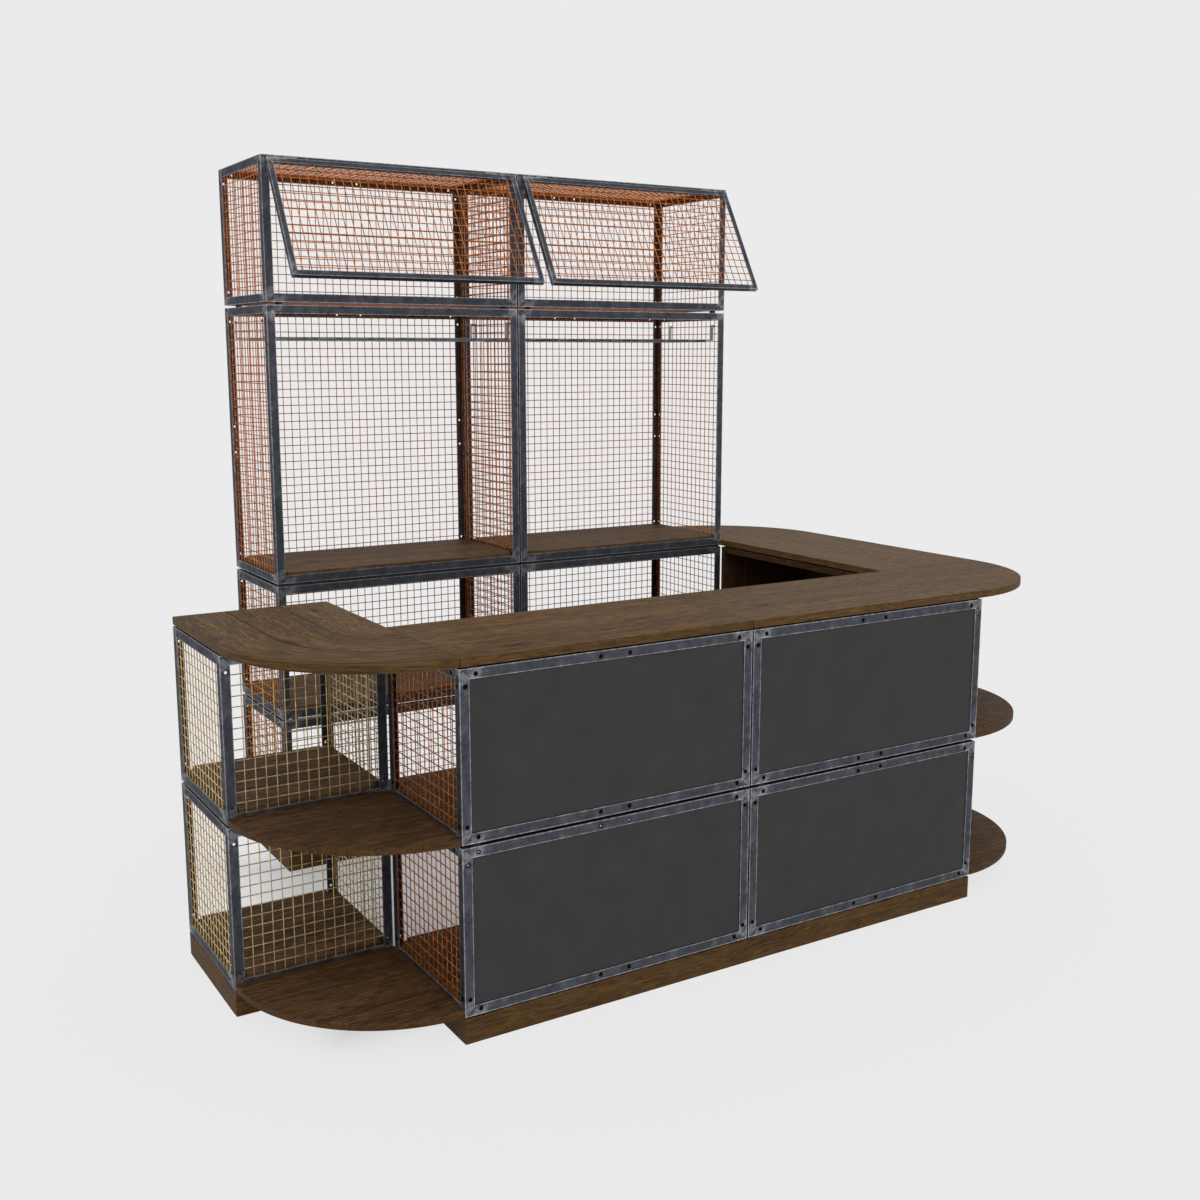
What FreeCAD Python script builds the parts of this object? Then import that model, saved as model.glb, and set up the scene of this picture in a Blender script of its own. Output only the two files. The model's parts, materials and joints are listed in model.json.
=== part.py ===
import FreeCAD, Part
import os
import re

# A walk-in bar made of stacked angle-steel modules.
# Bar coordinates: x runs along the front counter from its left end, y runs
# from the counter's front face towards the back bar, z is the height over
# the floor. Each finished piece is then shifted so that the origin lies on
# the floor, in the middle of the whole plan.

doc = FreeCAD.newDocument("bar")
sheet = doc.addObject("Spreadsheet::Sheet", "sizes")

SIZES = [
    # modules
    ("cube", 500, "side of a small module and depth of every module"),
    ("wide", 1000, "length of a wide module"),
    ("tall", 1000, "height of a tall module"),
    ("leg", 30, "leg width of the module angle"),
    ("steel", 3, "wall of every angle"),
    ("hole_radius", 4.5, "bolt holes in the angles"),
    ("hole_inset", 17, "hole centre from the angle's outer edge"),
    ("hole_end", 50, "hole centre from the module's end"),
    ("hole_mid", 50, "hole centre each side of a long bar's middle"),
    # levels and gaps
    ("plinth_height", 78, "height of the wooden plinths"),
    ("plinth_board", 20, "thickness of the plinth boards"),
    ("pad_gap", 5, "pads on the plinths and under the worktops"),
    ("stack_gap", 10, "spacers between stacked modules"),
    ("pad_radius", 12, "pads and spacers"),
    ("side_gap", 6, "gap between modules side by side"),
    ("return_gap", 4, "gap between the front counter and the returns"),
    ("worktop", 25, "thickness of the worktops"),
    ("aisle", 1017, "from the front counter's back to the back bar"),
    # infill
    ("wire", 4, "wire of the mesh"),
    ("wire_pitch", 31.75, "pitch of the mesh"),
    ("net_rows", 3, "wires that one bar of a net stands for"),
    ("net_bar", 9, "width of a net's bars"),
    ("net_inset", 10, "edge of nets and panels from the module's side"),
    ("panel", 6, "thickness of the dark front panels"),
    ("play", 1, "free space round boards and nets"),
    ("floor_board", 38, "thickness of the module floors"),
    ("notch_gap", 8, "floor notch beyond the post"),
    ("shelf", 20, "corner shelves and cabinet boards"),
    ("cabinet_top", 25, "top board of the cabinet"),
    # doors of the top row
    ("flap_inset", 15, "door's end from the module's end"),
    ("flap_drop", 20, "door's top edge below the module's top"),
    ("flap_height", 468, "height of a door"),
    ("flap_leg", 20, "leg width of the door angle"),
    ("flap_open", 29.3, "degrees that a door stands open"),
    ("knuckle_radius", 4, "hinge knuckle"),
    ("pin_radius", 2, "hinge pin"),
    ("pin_play", 0.1, "radial play round the pin"),
    ("knuckle_play", 0.4, "play between the knuckles"),
    ("leaf", 2, "thickness of a hinge leaf"),
    ("leaf_width", 14, "leaf from the hinge's axis to its edge"),
    ("hinge_start", 67, "hinge from the door's end"),
    ("hinge_length", 50, "length of a hinge"),
    # glass racks
    ("hook_row", 14, "wires from the side mesh's middle up to the hooks"),
    ("hook_rows", 2, "wires that a bar of the tall side nets stands for"),
    ("hook_front_cells", 5.5, "meshes from the middle forward to a hook"),
    ("hook_back_cells", 4.5, "meshes from the middle back to a hook"),
    ("strap", 2, "thickness of a hook's strap"),
    ("strap_width", 18, "width of a hook's strap"),
    ("hook_lip", 8, "lip behind the wire"),
    ("hook_foot", 22, "foot under the cross bar"),
    ("rack_drop", 63, "from the hook's seat down to the cross bars"),
    ("cross_bar", 20, "width of a cross bar"),
    ("cross_thick", 3, "thickness of a cross bar"),
    ("rack_front", 31, "rails' front end from the module's front"),
    ("rack_depth", 402, "length of the rails"),
    ("rack_pitch", 128, "pitch of the channels"),
    ("channel_half", 46, "channel's middle to its outer lip"),
    ("slot_half", 11, "half of the stem slot"),
    ("rail_lip", 9, "height of a rail's lip"),
    ("rail", 1.5, "thickness of a rail's sheet"),
    # cuts
    ("overrun", 5, "how far every cut runs past its piece"),
]
CHANNELS_PER_RACK = 7

for number, (alias, value, note) in enumerate(SIZES, start=1):
    sheet.set("A%d" % number, note)
    sheet.set("B%d" % number, str(value))
    sheet.setAlias("B%d" % number, alias)
doc.recompute()


# Helpers.

def bound(text):
    """An expression in which each word is a size of the sheet."""
    return re.sub(r"[a-z_]+", lambda word: "sizes." + word.group(0), text)


def move(piece, x, y, z):
    """Binds the place of a piece to the sheet."""
    for axis, text in (("x", x), ("y", y), ("z", z)):
        piece.setExpression("Placement.Base." + axis, bound(text))
    return piece


def box(name, length, width, height, x="0", y="0", z="0"):
    """A block whose sizes and lowest corner are bound to the sheet."""
    block = doc.addObject("Part::Box", name)
    block.setExpression("Length", bound(length))
    block.setExpression("Width", bound(width))
    block.setExpression("Height", bound(height))
    return move(block, x, y, z)


def cylinder(name, radius, height, x="0", y="0", z="0", along="z", sweep=None):
    """A cylinder along an axis; sweep makes a part of a full turn."""
    round_bar = doc.addObject("Part::Cylinder", name)
    round_bar.setExpression("Radius", bound(radius))
    round_bar.setExpression("Height", bound(height))
    if sweep:
        round_bar.Angle = sweep
    if along == "x":
        turn = FreeCAD.Rotation(FreeCAD.Vector(0, 1, 0), 90)
        round_bar.Placement = FreeCAD.Placement(FreeCAD.Vector(), turn)
    if along == "y":
        turn = FreeCAD.Rotation(FreeCAD.Vector(1, 0, 0), -90)
        round_bar.Placement = FreeCAD.Placement(FreeCAD.Vector(), turn)
    return move(round_bar, x, y, z)


def cut(name, base, tools):
    """The base with the tools, which don't meet each other, taken off."""
    tool = group(name + "_tools", tools)
    result = doc.addObject("Part::Cut", name)
    result.Base = base
    result.Tool = tool
    return result


def fuse(name, pieces):
    """One solid from pieces that meet."""
    result = doc.addObject("Part::MultiFuse", name)
    result.Shapes = pieces
    result.Refine = True
    return result


def group(name, pieces):
    """Pieces kept as separate solids."""
    result = doc.addObject("Part::Compound", name)
    result.Links = pieces
    return result


def placed(name, piece, x="0", y="0", z="0", axes=None):
    """A copy of a piece; axes are the images of its own x, y and z."""
    copy = group(name, [piece])
    if axes:
        turn = FreeCAD.Rotation(*[FreeCAD.Vector(*axis) for axis in axes], "XYZ")
        copy.Placement = FreeCAD.Placement(FreeCAD.Vector(), turn)
    return move(copy, x, y, z)


nodes = []


def node(label, pieces):
    """A finished sub-part, moved from bar coordinates to the origin."""
    piece = group(label, pieces)
    piece.Label = label
    move(piece, "-(2 * wide + side_gap + return_gap) / 2", "-(2 * cube + aisle) / 2", "0")
    nodes.append(piece)
    return piece


# Module frames.

def bar_holes(length, first, middle):
    """Places of the holes along a bar, from its lower end."""
    rows = [first, "%s - (%s)" % (length, first)]
    if middle:
        rows += ["(%s) / 2 - hole_mid" % length, "(%s) / 2 + hole_mid" % length]
    return rows


def angle_bar(name, length, first, middle, across="xy"):
    """An angle along z with its legs along x and y.

    Its holes run along the named axes: those along x go through the leg that
    lies along y, and those along y through the other one.
    """
    block = box(name + "_block", "leg", "leg", length)
    inner = box(name + "_inner", "leg", "leg", "%s + 2 * overrun" % length,
                "steel", "steel", "-overrun")
    section = cut(name + "_section", block, [inner])
    drills = []
    for number, row in enumerate(bar_holes(length, first, middle)):
        if "x" in across:
            drills.append(cylinder("%s_x%d" % (name, number), "hole_radius",
                                   "steel + 2 * overrun", "-overrun", "hole_inset",
                                   row, "x"))
        if "y" in across:
            drills.append(cylinder("%s_y%d" % (name, number), "hole_radius",
                                   "steel + 2 * overrun", "hole_inset", "-overrun",
                                   row, "y"))
    return cut(name, section, drills)


def bar_set(name, length, first, middle):
    """The angle drilled in both legs, and in each leg alone."""
    return {across: angle_bar("%s_%s" % (name, across), length, first, middle, across)
            for across in ("xy", "x", "y")}


def depth_bar(name):
    """The lower left bar along y, let in between the front and back bars."""
    side = box(name + "_side", "steel", "cube - 2 * steel", "leg - steel",
               "0", "steel", "steel")
    flat = box(name + "_flat", "leg", "cube - 2 * leg", "steel", "0", "leg", "0")
    angle = fuse(name + "_angle", [side, flat])
    drills = []
    for number, row in enumerate(("hole_end", "cube - hole_end")):
        drills.append(cylinder("%s_x%d" % (name, number), "hole_radius",
                               "steel + 2 * overrun", "-overrun", row,
                               "hole_inset", "x"))
        drills.append(cylinder("%s_z%d" % (name, number), "hole_radius",
                               "steel + 2 * overrun", "hole_inset", row,
                               "-overrun"))
    return cut(name, angle, drills)


def frame(name, length, height, long_bars, posts, depth, plain_front=False):
    """A module frame: twelve angles that meet face to face at the corners.

    A plain front has no holes in the legs that face forward.
    """
    bars = []
    for y, side in (("0", 1), ("cube", -1)):
        for z, level in (("0", 1), (height, -1)):
            legs = [(0, side, 0), (0, 0, level)]
            if side * level < 0:
                legs.reverse()
            across = "xy"
            if plain_front and y == "0":
                across = "y" if level > 0 else "x"
            bars.append(placed("%s_long%d" % (name, len(bars)), long_bars[across], "0",
                               y, z, legs + [(1, 0, 0)]))
    for x, side in (("0", 1), (length, -1)):
        for y, face in (("0", 1), ("cube", -1)):
            legs = [(side, 0, 0), (0, face, 0)]
            if side * face < 0:
                legs.reverse()
            across = "xy"
            if plain_front and y == "0":
                across = "x" if side > 0 else "y"
            bars.append(placed("%s_post%d" % (name, len(bars)), posts[across], x, y,
                               "leg", legs + [(0, 0, 1)]))
    turns = [
        ("0", "0", "0", [(1, 0, 0), (0, 1, 0), (0, 0, 1)]),
        (length, "cube", "0", [(-1, 0, 0), (0, -1, 0), (0, 0, 1)]),
        ("0", "cube", height, [(1, 0, 0), (0, -1, 0), (0, 0, -1)]),
        (length, "0", height, [(-1, 0, 0), (0, 1, 0), (0, 0, -1)]),
    ]
    for x, y, z, axes in turns:
        bars.append(placed("%s_depth%d" % (name, len(bars)), depth, x, y, z, axes))
    return group(name, bars)


bar_cube = {"xy": angle_bar("bar_cube", "cube", "hole_end", False)}
bar_wide = bar_set("bar_wide", "wide", "hole_end", True)
post_cube = bar_set("post_cube", "cube - 2 * leg", "hole_end - leg", False)
post_tall = bar_set("post_tall", "tall - 2 * leg", "hole_end - leg", True)
bar_depth = depth_bar("bar_depth")

frame_cube = frame("frame_cube", "cube", "cube", bar_cube, post_cube, bar_depth)
frame_wide = frame("frame_wide", "wide", "cube", bar_wide, post_cube, bar_depth)
frame_back = frame("frame_back", "wide", "cube", bar_wide, post_cube, bar_depth, True)
frame_tall = frame("frame_tall", "wide", "tall", bar_wide, post_tall, bar_depth, True)

# heights of the module bottoms
LOWER = "plinth_height + pad_gap"
UPPER = LOWER + " + cube + stack_gap"
THIRD = UPPER + " + cube + stack_gap"
FOURTH = THIRD + " + tall + stack_gap"
WORKTOP = UPPER + " + cube + pad_gap"

# lowest corners of the module columns, as (x, y)
FRONT = [("0", "0"), ("wide + side_gap", "0")]
LEFT = ("-(cube + return_gap)", "cube + return_gap")
BACK = [("return_gap", "cube + aisle"),
        ("return_gap + wide + side_gap", "cube + aisle")]
RIGHT = ("2 * wide + side_gap + return_gap", "cube + return_gap")
CABINET_LENGTH = "wide + return_gap"
SIDES = ("left", "right")

for level, height in (("lower", LOWER), ("upper", UPPER)):
    for side, (x, y) in zip(SIDES, FRONT):
        label = "front_frame_%s_%s" % (level, side)
        node(label, [placed(label + "_at", frame_wide, x, y, height)])
    label = "left_frame_" + level
    node(label, [placed(label + "_at", frame_cube, LEFT[0], LEFT[1], height)])
for row, height, source in (("a", LOWER, frame_back), ("b", UPPER, frame_back),
                            ("c", THIRD, frame_tall), ("d", FOURTH, frame_back)):
    for side, (x, y) in zip(SIDES, BACK):
        label = "back_frame_%s_%s" % (row, side)
        node(label, [placed(label + "_at", source, x, y, height)])


# Wire mesh.

def strips(length, pitch):
    """Free spans between a net's bars, with one bar in its middle."""
    half = length / 2
    reach = half - sheet.net_bar
    places = []
    count = int(reach / pitch)
    for step in range(-count, count + 1):
        places.append(half + step * pitch)
    edges = [sheet.net_bar]
    for place in places:
        edges += [place - sheet.net_bar / 2, place + sheet.net_bar / 2]
    edges.append(length - sheet.net_bar)
    spans = zip(edges[0::2], edges[1::2])
    return [(low, high) for low, high in spans if high - low > sheet.net_bar]


def rectangle(low_x, low_y, high_x, high_y):
    """A closed wire in the xy plane."""
    corners = [(low_x, low_y), (high_x, low_y), (high_x, high_y), (low_x, high_y)]
    corners.append(corners[0])
    return Part.makePolygon([FreeCAD.Vector(x, y, 0) for x, y in corners])


def net(name, length, width, across, along):
    """A flat net in the xy plane: one holed face, as thick as the wire."""
    wires = [rectangle(0, 0, length, width)]
    for low_x, high_x in strips(length, across * sheet.wire_pitch):
        for low_y, high_y in strips(width, along * sheet.wire_pitch):
            wires.append(rectangle(low_x, low_y, high_x, high_y))
    face = Part.makeFace(wires, "Part::FaceMakerBullseye")
    piece = doc.addObject("Part::Feature", name)
    piece.Shape = face.extrude(FreeCAD.Vector(0, 0, sheet.wire))
    print(name, "gaps", len(wires) - 1)
    return piece


LONG_NET = sheet.wide - 2 * sheet.net_inset
SHORT_NET = sheet.cube - 2 * sheet.net_inset
TALL_NET = sheet.tall - 2 * sheet.net_inset
ROWS = sheet.net_rows
net_cube = net("net_cube", SHORT_NET, SHORT_NET, ROWS, ROWS)
net_wide = net("net_wide", LONG_NET, SHORT_NET, ROWS, ROWS)
net_side = net("net_side", SHORT_NET, TALL_NET, ROWS, sheet.hook_rows)
net_tall = net("net_tall", LONG_NET, TALL_NET, ROWS, ROWS)

UPRIGHT_X = [(1, 0, 0), (0, 0, 1), (0, -1, 0)]
UPRIGHT_Y = [(0, 1, 0), (0, 0, 1), (1, 0, 0)]


def left_face(name, source, corner, height):
    """A net against the inside of a module's left face."""
    x, y = corner
    return placed(name, source, x + " + steel", y + " + net_inset",
                  height + " + net_inset", UPRIGHT_Y)


def right_face(name, source, corner, height, length):
    """A net against the inside of a module's right face."""
    x, y = corner
    return placed(name, source, "%s + %s - steel - wire" % (x, length),
                  y + " + net_inset", height + " + net_inset", UPRIGHT_Y)


def front_face(name, source, corner, height):
    """A net against the inside of a module's front face."""
    x, y = corner
    return placed(name, source, x + " + net_inset", y + " + steel + wire",
                  height + " + net_inset", UPRIGHT_X)


def back_face(name, source, corner, height):
    """A net against the inside of a module's back face."""
    x, y = corner
    return placed(name, source, x + " + net_inset", y + " + cube - steel",
                  height + " + net_inset", UPRIGHT_X)


def level_face(name, source, corner, height):
    """A net that lies flat."""
    x, y = corner
    return placed(name, source, x + " + net_inset", y + " + net_inset", height)


node("front_net_left", [left_face("front_left_net_lower", net_cube, FRONT[0], LOWER),
                        left_face("front_left_net_upper", net_cube, FRONT[0], UPPER)])
node("front_net_right",
     [right_face("front_right_net_lower", net_cube, FRONT[1], LOWER, "wide"),
      right_face("front_right_net_upper", net_cube, FRONT[1], UPPER, "wide")])
for level, height in (("lower", LOWER), ("upper", UPPER)):
    name = "left_net_" + level
    node(name, [left_face(name + "_outer", net_cube, LEFT, height),
                front_face(name + "_front", net_cube, LEFT, height),
                right_face(name + "_inner", net_cube, LEFT, height, "cube")])
for row, height, side_net, back_net in (("a", LOWER, net_cube, net_wide),
                                        ("b", UPPER, net_cube, net_wide),
                                        ("c", THIRD, net_side, net_tall),
                                        ("d", FOURTH, net_cube, net_wide)):
    name = "back_net_" + row
    sheets = []
    for side, corner in zip(SIDES, BACK):
        mark = "%s_%s" % (name, side)
        sheets.append(left_face(mark + "_l", side_net, corner, height))
        sheets.append(right_face(mark + "_r", side_net, corner, height, "wide"))
        sheets.append(back_face(mark + "_b", back_net, corner, height))
        if row == "d":
            sheets.append(level_face(mark + "_low", net_wide, corner,
                                     height + " + steel"))
            sheets.append(level_face(mark + "_top", net_wide, corner,
                                     height + " + cube - steel - wire"))
    node(name, sheets)


# Panels, floors, shelves.

for level, height in (("lower", LOWER), ("upper", UPPER)):
    name = "front_panels_" + level
    node(name, [box("%s_%s" % (name, side), "wide - 2 * net_inset", "panel",
                    "cube - 2 * net_inset", x + " + net_inset", y + " + steel",
                    height + " + net_inset") for side, (x, y) in zip(SIDES, FRONT)])


def floor(name, length, front, back):
    """A module floor with its corners notched round the posts.

    front and back are its distances from the module's front and back faces.
    """
    side = "steel + wire + play"
    board = box(name + "_board", "%s - 2 * (%s)" % (length, side),
                "cube - (%s) - (%s)" % (front, back), "floor_board", side, front,
                "steel")
    notches = []
    reach = "leg + notch_gap"
    for x in ("-overrun", "%s - (%s)" % (length, reach)):
        for y in ("-overrun", "cube - (%s)" % reach):
            notches.append(box("%s_notch%d" % (name, len(notches)),
                               reach + " + overrun", reach + " + overrun",
                               "floor_board + 2 * overrun", x, y, "steel - overrun"))
    return cut(name, board, notches)


OPEN_EDGE = "steel + play"
NET_EDGE = "steel + wire + play"
PANEL_EDGE = "steel + panel + play"
floor_front = floor("floor_front", "wide", PANEL_EDGE, OPEN_EDGE)
floor_left = floor("floor_left", "cube", NET_EDGE, OPEN_EDGE)
floor_back = floor("floor_back", "wide", OPEN_EDGE, NET_EDGE)

boards = []
for level, height in (("lower", LOWER), ("upper", UPPER)):
    for side, (x, y) in zip(SIDES, FRONT):
        boards.append(placed("front_floor_%s_%s" % (level, side), floor_front, x, y,
                             height))
node("front_floors", boards)
node("left_floors", [placed("left_floor_" + level, floor_left, LEFT[0], LEFT[1], height)
                     for level, height in (("lower", LOWER), ("upper", UPPER))])
boards = []
for row, height in (("a", LOWER), ("b", UPPER), ("c", THIRD)):
    for side, (x, y) in zip(SIDES, BACK):
        boards.append(placed("back_floor_%s_%s" % (row, side), floor_back, x, y,
                             height))
node("back_floors", boards)

# quarter rounds: centre of the round, and the images of their x and y
CORNER_RADIUS = "cube + return_gap"
CORNERS = {
    "left": ("0", "cube + return_gap", [(-1, 0, 0), (0, -1, 0), (0, 0, 1)]),
    "right": (RIGHT[0], "cube + return_gap", [(0, -1, 0), (1, 0, 0), (0, 0, 1)]),
    "back": (RIGHT[0], "cube + return_gap + " + CABINET_LENGTH,
             [(1, 0, 0), (0, 1, 0), (0, 0, 1)]),
}
quarter_shelf = cylinder("quarter_shelf", CORNER_RADIUS, "shelf", sweep=90)
quarter_top = cylinder("quarter_top", CORNER_RADIUS, "worktop", sweep=90)
round_tops = {}
for corner, (x, y, axes) in CORNERS.items():
    node(corner + "_corner_shelves",
         [placed("%s_shelf_%s" % (corner, level), quarter_shelf, x, y, height, axes)
          for level, height in (("lower", LOWER), ("upper", UPPER))])
    round_tops[corner] = placed(corner + "_top_at", quarter_top, x, y, WORKTOP, axes)

# The left return's worktop runs on round its corner in one bent piece.
SEAM = "wide + side_gap / 2"
node("front_top_left", [box("front_top_l", SEAM, "cube", "worktop", "0", "0", WORKTOP)])
node("front_top_right", [box("front_top_r", "%s - (%s)" % (RIGHT[0], SEAM), "cube",
                             "worktop", SEAM, "0", WORKTOP)])
left_straight = box("left_top_board", CORNER_RADIUS, "cube", "worktop", LEFT[0], LEFT[1],
                    WORKTOP)
node("left_top", [fuse("left_top_bent", [left_straight, round_tops["left"]])])
for corner in ("right", "back"):
    node(corner + "_corner_top", [round_tops[corner]])
node("right_top", [box("right_top_board", CORNER_RADIUS, CABINET_LENGTH, "worktop",
                       RIGHT[0], RIGHT[1], WORKTOP)])


# Plinths.

def plinth(name, length, width, x, y):
    """Four boards on edge: two long ones and two ends between them."""
    inner = "%s - 2 * plinth_board" % width
    return [
        box(name + "_front", length, "plinth_board", "plinth_height", x, y),
        box(name + "_back", length, "plinth_board", "plinth_height", x,
            "%s + %s - plinth_board" % (y, width)),
        box(name + "_left", "plinth_board", inner, "plinth_height", x,
            y + " + plinth_board"),
        box(name + "_right", "plinth_board", inner, "plinth_height",
            "%s + %s - plinth_board" % (x, length), y + " + plinth_board"),
    ]


node("front_plinths", plinth("front_plinth_l", SEAM, "cube", "0", "0")
     + plinth("front_plinth_r", SEAM, "cube", SEAM, "0"))
node("left_plinth", plinth("left_plinth_box", "cube", "cube", LEFT[0], LEFT[1]))
node("back_plinths",
     plinth("back_plinth_l", SEAM, "cube", BACK[0][0], BACK[0][1])
     + plinth("back_plinth_r", SEAM, "cube", BACK[0][0] + " + " + SEAM, BACK[0][1]))
node("cabinet_plinth", plinth("cabinet_plinth_box", "cube", CABINET_LENGTH, RIGHT[0],
                              RIGHT[1]))


# Cabinet on the right.

X, Y = RIGHT
SIDE_HEIGHT = "2 * cube + stack_gap - cabinet_top"
INSIDE = "cube - shelf"
SPAN = "%s - 2 * shelf" % CABINET_LENGTH
node("cabinet_ends",
     [box("cabinet_end_front", INSIDE, "shelf", SIDE_HEIGHT, X, Y, LOWER),
      box("cabinet_end_back", INSIDE, "shelf", SIDE_HEIGHT, X,
          "%s + %s - shelf" % (Y, CABINET_LENGTH), LOWER)])
node("cabinet_outer", [box("cabinet_outer_panel", "shelf", CABINET_LENGTH, SIDE_HEIGHT,
                           X + " + " + INSIDE, Y, LOWER)])
node("cabinet_bottom", [box("cabinet_bottom_board", INSIDE, SPAN, "shelf", X,
                            Y + " + shelf", LOWER)])
node("cabinet_shelf", [box("cabinet_shelf_board", INSIDE, SPAN, "shelf", X,
                           Y + " + shelf", UPPER)])
node("cabinet_cover", [box("cabinet_cover_board", "cube", CABINET_LENGTH,
                           "cabinet_top", X, Y, LOWER + " + " + SIDE_HEIGHT)])


# Pads and spacers.

def disc_set(name, thickness, length, width="cube"):
    """Four discs on the outer bolt places of a module."""
    discs = []
    for x in ("hole_end", "%s - hole_end" % length):
        for y in ("hole_inset", "%s - hole_inset" % width):
            discs.append(cylinder("%s_%d" % (name, len(discs)), "pad_radius",
                                  thickness, x, y))
    return group(name, discs)


def strip_set(name, thickness, length):
    """A strip along the front, and discs on the two rear bolt places."""
    inset = "hole_inset - pad_radius"
    pieces = [box(name + "_strip", "%s - 2 * (%s)" % (length, inset), "2 * pad_radius",
                  thickness, inset, inset)]
    for x in ("hole_end", "%s - hole_end" % length):
        pieces.append(cylinder("%s_%d" % (name, len(pieces)), "pad_radius", thickness,
                               x, "cube - hole_inset"))
    return group(name, pieces)


pads_wide = disc_set("pads_wide", "pad_gap", "wide")
pads_cube = disc_set("pads_cube", "pad_gap", "cube")
pads_cabinet = disc_set("pads_cabinet", "pad_gap", "cube", CABINET_LENGTH)
spacers_wide = disc_set("spacers_wide", "stack_gap", "wide")
spacers_cube = disc_set("spacers_cube", "stack_gap", "cube")
spacers_strip = strip_set("spacers_strip", "stack_gap", "wide")

sets = []
for height in ("plinth_height", WORKTOP + " - pad_gap"):
    for x, y in FRONT:
        sets.append(placed("pads%d" % len(sets), pads_wide, x, y, height))
    sets.append(placed("pads%d" % len(sets), pads_cube, LEFT[0], LEFT[1], height))
    sets.append(placed("pads%d" % len(sets), pads_cabinet, X, Y, height))
for x, y in BACK:
    sets.append(placed("pads%d" % len(sets), pads_wide, x, y, "plinth_height"))
node("pads", sets)

sets = [placed("spacers_l", spacers_cube, LEFT[0], LEFT[1], UPPER + " - stack_gap")]
for x, y in FRONT:
    sets.append(placed("spacers%d" % len(sets), spacers_wide, x, y,
                       UPPER + " - stack_gap"))
# No light shows through the gap under the tall row: a strip closes it in front.
for height, source in ((UPPER, spacers_wide), (THIRD, spacers_strip),
                       (FOURTH, spacers_wide)):
    for x, y in BACK:
        sets.append(placed("spacers%d" % len(sets), source, x, y,
                           height + " - stack_gap"))
node("stack_spacers", sets)


# Doors of the top row.

def door_frame(name):
    """A door frame of angle: its outer face at y = 0, its lowest corner at 0.

    The top and bottom bars are full length, the side bars stand between.
    """
    length = "(wide - 2 * flap_inset)"
    bars = []
    for mark, face, edge in (("low", "0", "0"),
                             ("high", "flap_height - flap_leg", "flap_height - steel")):
        face_leg = box("%s_%s_face" % (name, mark), length, "steel", "flap_leg", "0",
                       "0", face)
        edge_leg = box("%s_%s_edge" % (name, mark), length, "flap_leg", "steel", "0",
                       "0", edge)
        bars.append(fuse("%s_%s" % (name, mark), [face_leg, edge_leg]))
    for mark, face, edge in (("left", "0", "0"),
                             ("right", length + " - flap_leg", length + " - steel")):
        face_leg = box("%s_%s_face" % (name, mark), "flap_leg", "steel",
                       "flap_height - 2 * flap_leg", face, "0", "flap_leg")
        edge_leg = box("%s_%s_edge" % (name, mark), "steel", "flap_leg - steel",
                       "flap_height - 2 * steel", edge, "steel", "steel")
        bars.append(fuse("%s_%s" % (name, mark), [face_leg, edge_leg]))
    return group(name, bars)


def fixed_leaf(name):
    """The hinge's module half: two knuckles, the pin and the upright leaf.

    It lies along x from 0, with the hinge's axis on the x axis.
    """
    end = "(hinge_length - knuckle_play) / 3"
    second = "hinge_length - " + end
    gap = "knuckle_radius + knuckle_play"
    pieces = [
        box(name + "_leaf", "hinge_length", "leaf", "leaf_width - (%s)" % gap, "0",
            "knuckle_radius - leaf", gap),
        cylinder(name + "_pin", "pin_radius", "hinge_length", along="x"),
    ]
    for number, x in enumerate(("0", second)):
        pieces.append(cylinder("%s_knuckle%d" % (name, number), "knuckle_radius", end,
                               x, along="x"))
        pieces.append(box("%s_tab%d" % (name, number), end, "leaf", gap, x,
                          "knuckle_radius - leaf", "0"))
    return fuse(name, pieces)


def moving_leaf(name):
    """The hinge's door half: the middle knuckle and the flat leaf."""
    start = "(hinge_length - knuckle_play) / 3 + knuckle_play"
    width = "hinge_length - 2 * (%s)" % start
    gap = "knuckle_radius + knuckle_play"
    solid = fuse(name + "_solid", [
        box(name + "_leaf", "hinge_length", "leaf_width - (%s)" % gap, "leaf", "0",
            "-leaf_width", "-knuckle_radius"),
        box(name + "_tab", width, gap, "leaf", start, "-(%s)" % gap,
            "-knuckle_radius"),
        cylinder(name + "_knuckle", "knuckle_radius", width, start, along="x"),
    ])
    bore = cylinder(name + "_bore", "pin_radius + pin_play",
                    "hinge_length + 2 * overrun", "-overrun", along="x")
    return cut(name, solid, [bore])


NET_PLAY = sheet.steel + sheet.play
net_door = net("net_door", sheet.wide - 2 * sheet.flap_inset - 2 * NET_PLAY,
               sheet.flap_height - 2 * NET_PLAY, ROWS, ROWS)
door = door_frame("door")
leaf_fixed = fixed_leaf("leaf_fixed")
leaf_moving = moving_leaf("leaf_moving")

HINGES = ("flap_inset + hinge_start",
          "wide - flap_inset - hinge_start - hinge_length")
AXIS_Y = "cube + aisle - knuckle_radius"
AXIS_Z = FOURTH + " + cube - flap_drop + knuckle_radius"
DOOR_Y = "knuckle_radius - leaf - flap_leg"
DOOR_Z = "-knuckle_radius - flap_height"


def opened(name, piece, x):
    """A piece given round the hinge's axis, turned to the open door's angle."""
    turned = placed(name, piece, x, AXIS_Y, AXIS_Z)
    turned.setExpression("Placement.Rotation.Angle", "sizes.flap_open * 1 deg")
    turned.Placement = FreeCAD.Placement(
        turned.Placement.Base, FreeCAD.Rotation(FreeCAD.Vector(-1, 0, 0), sheet.flap_open))
    return turned


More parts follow.
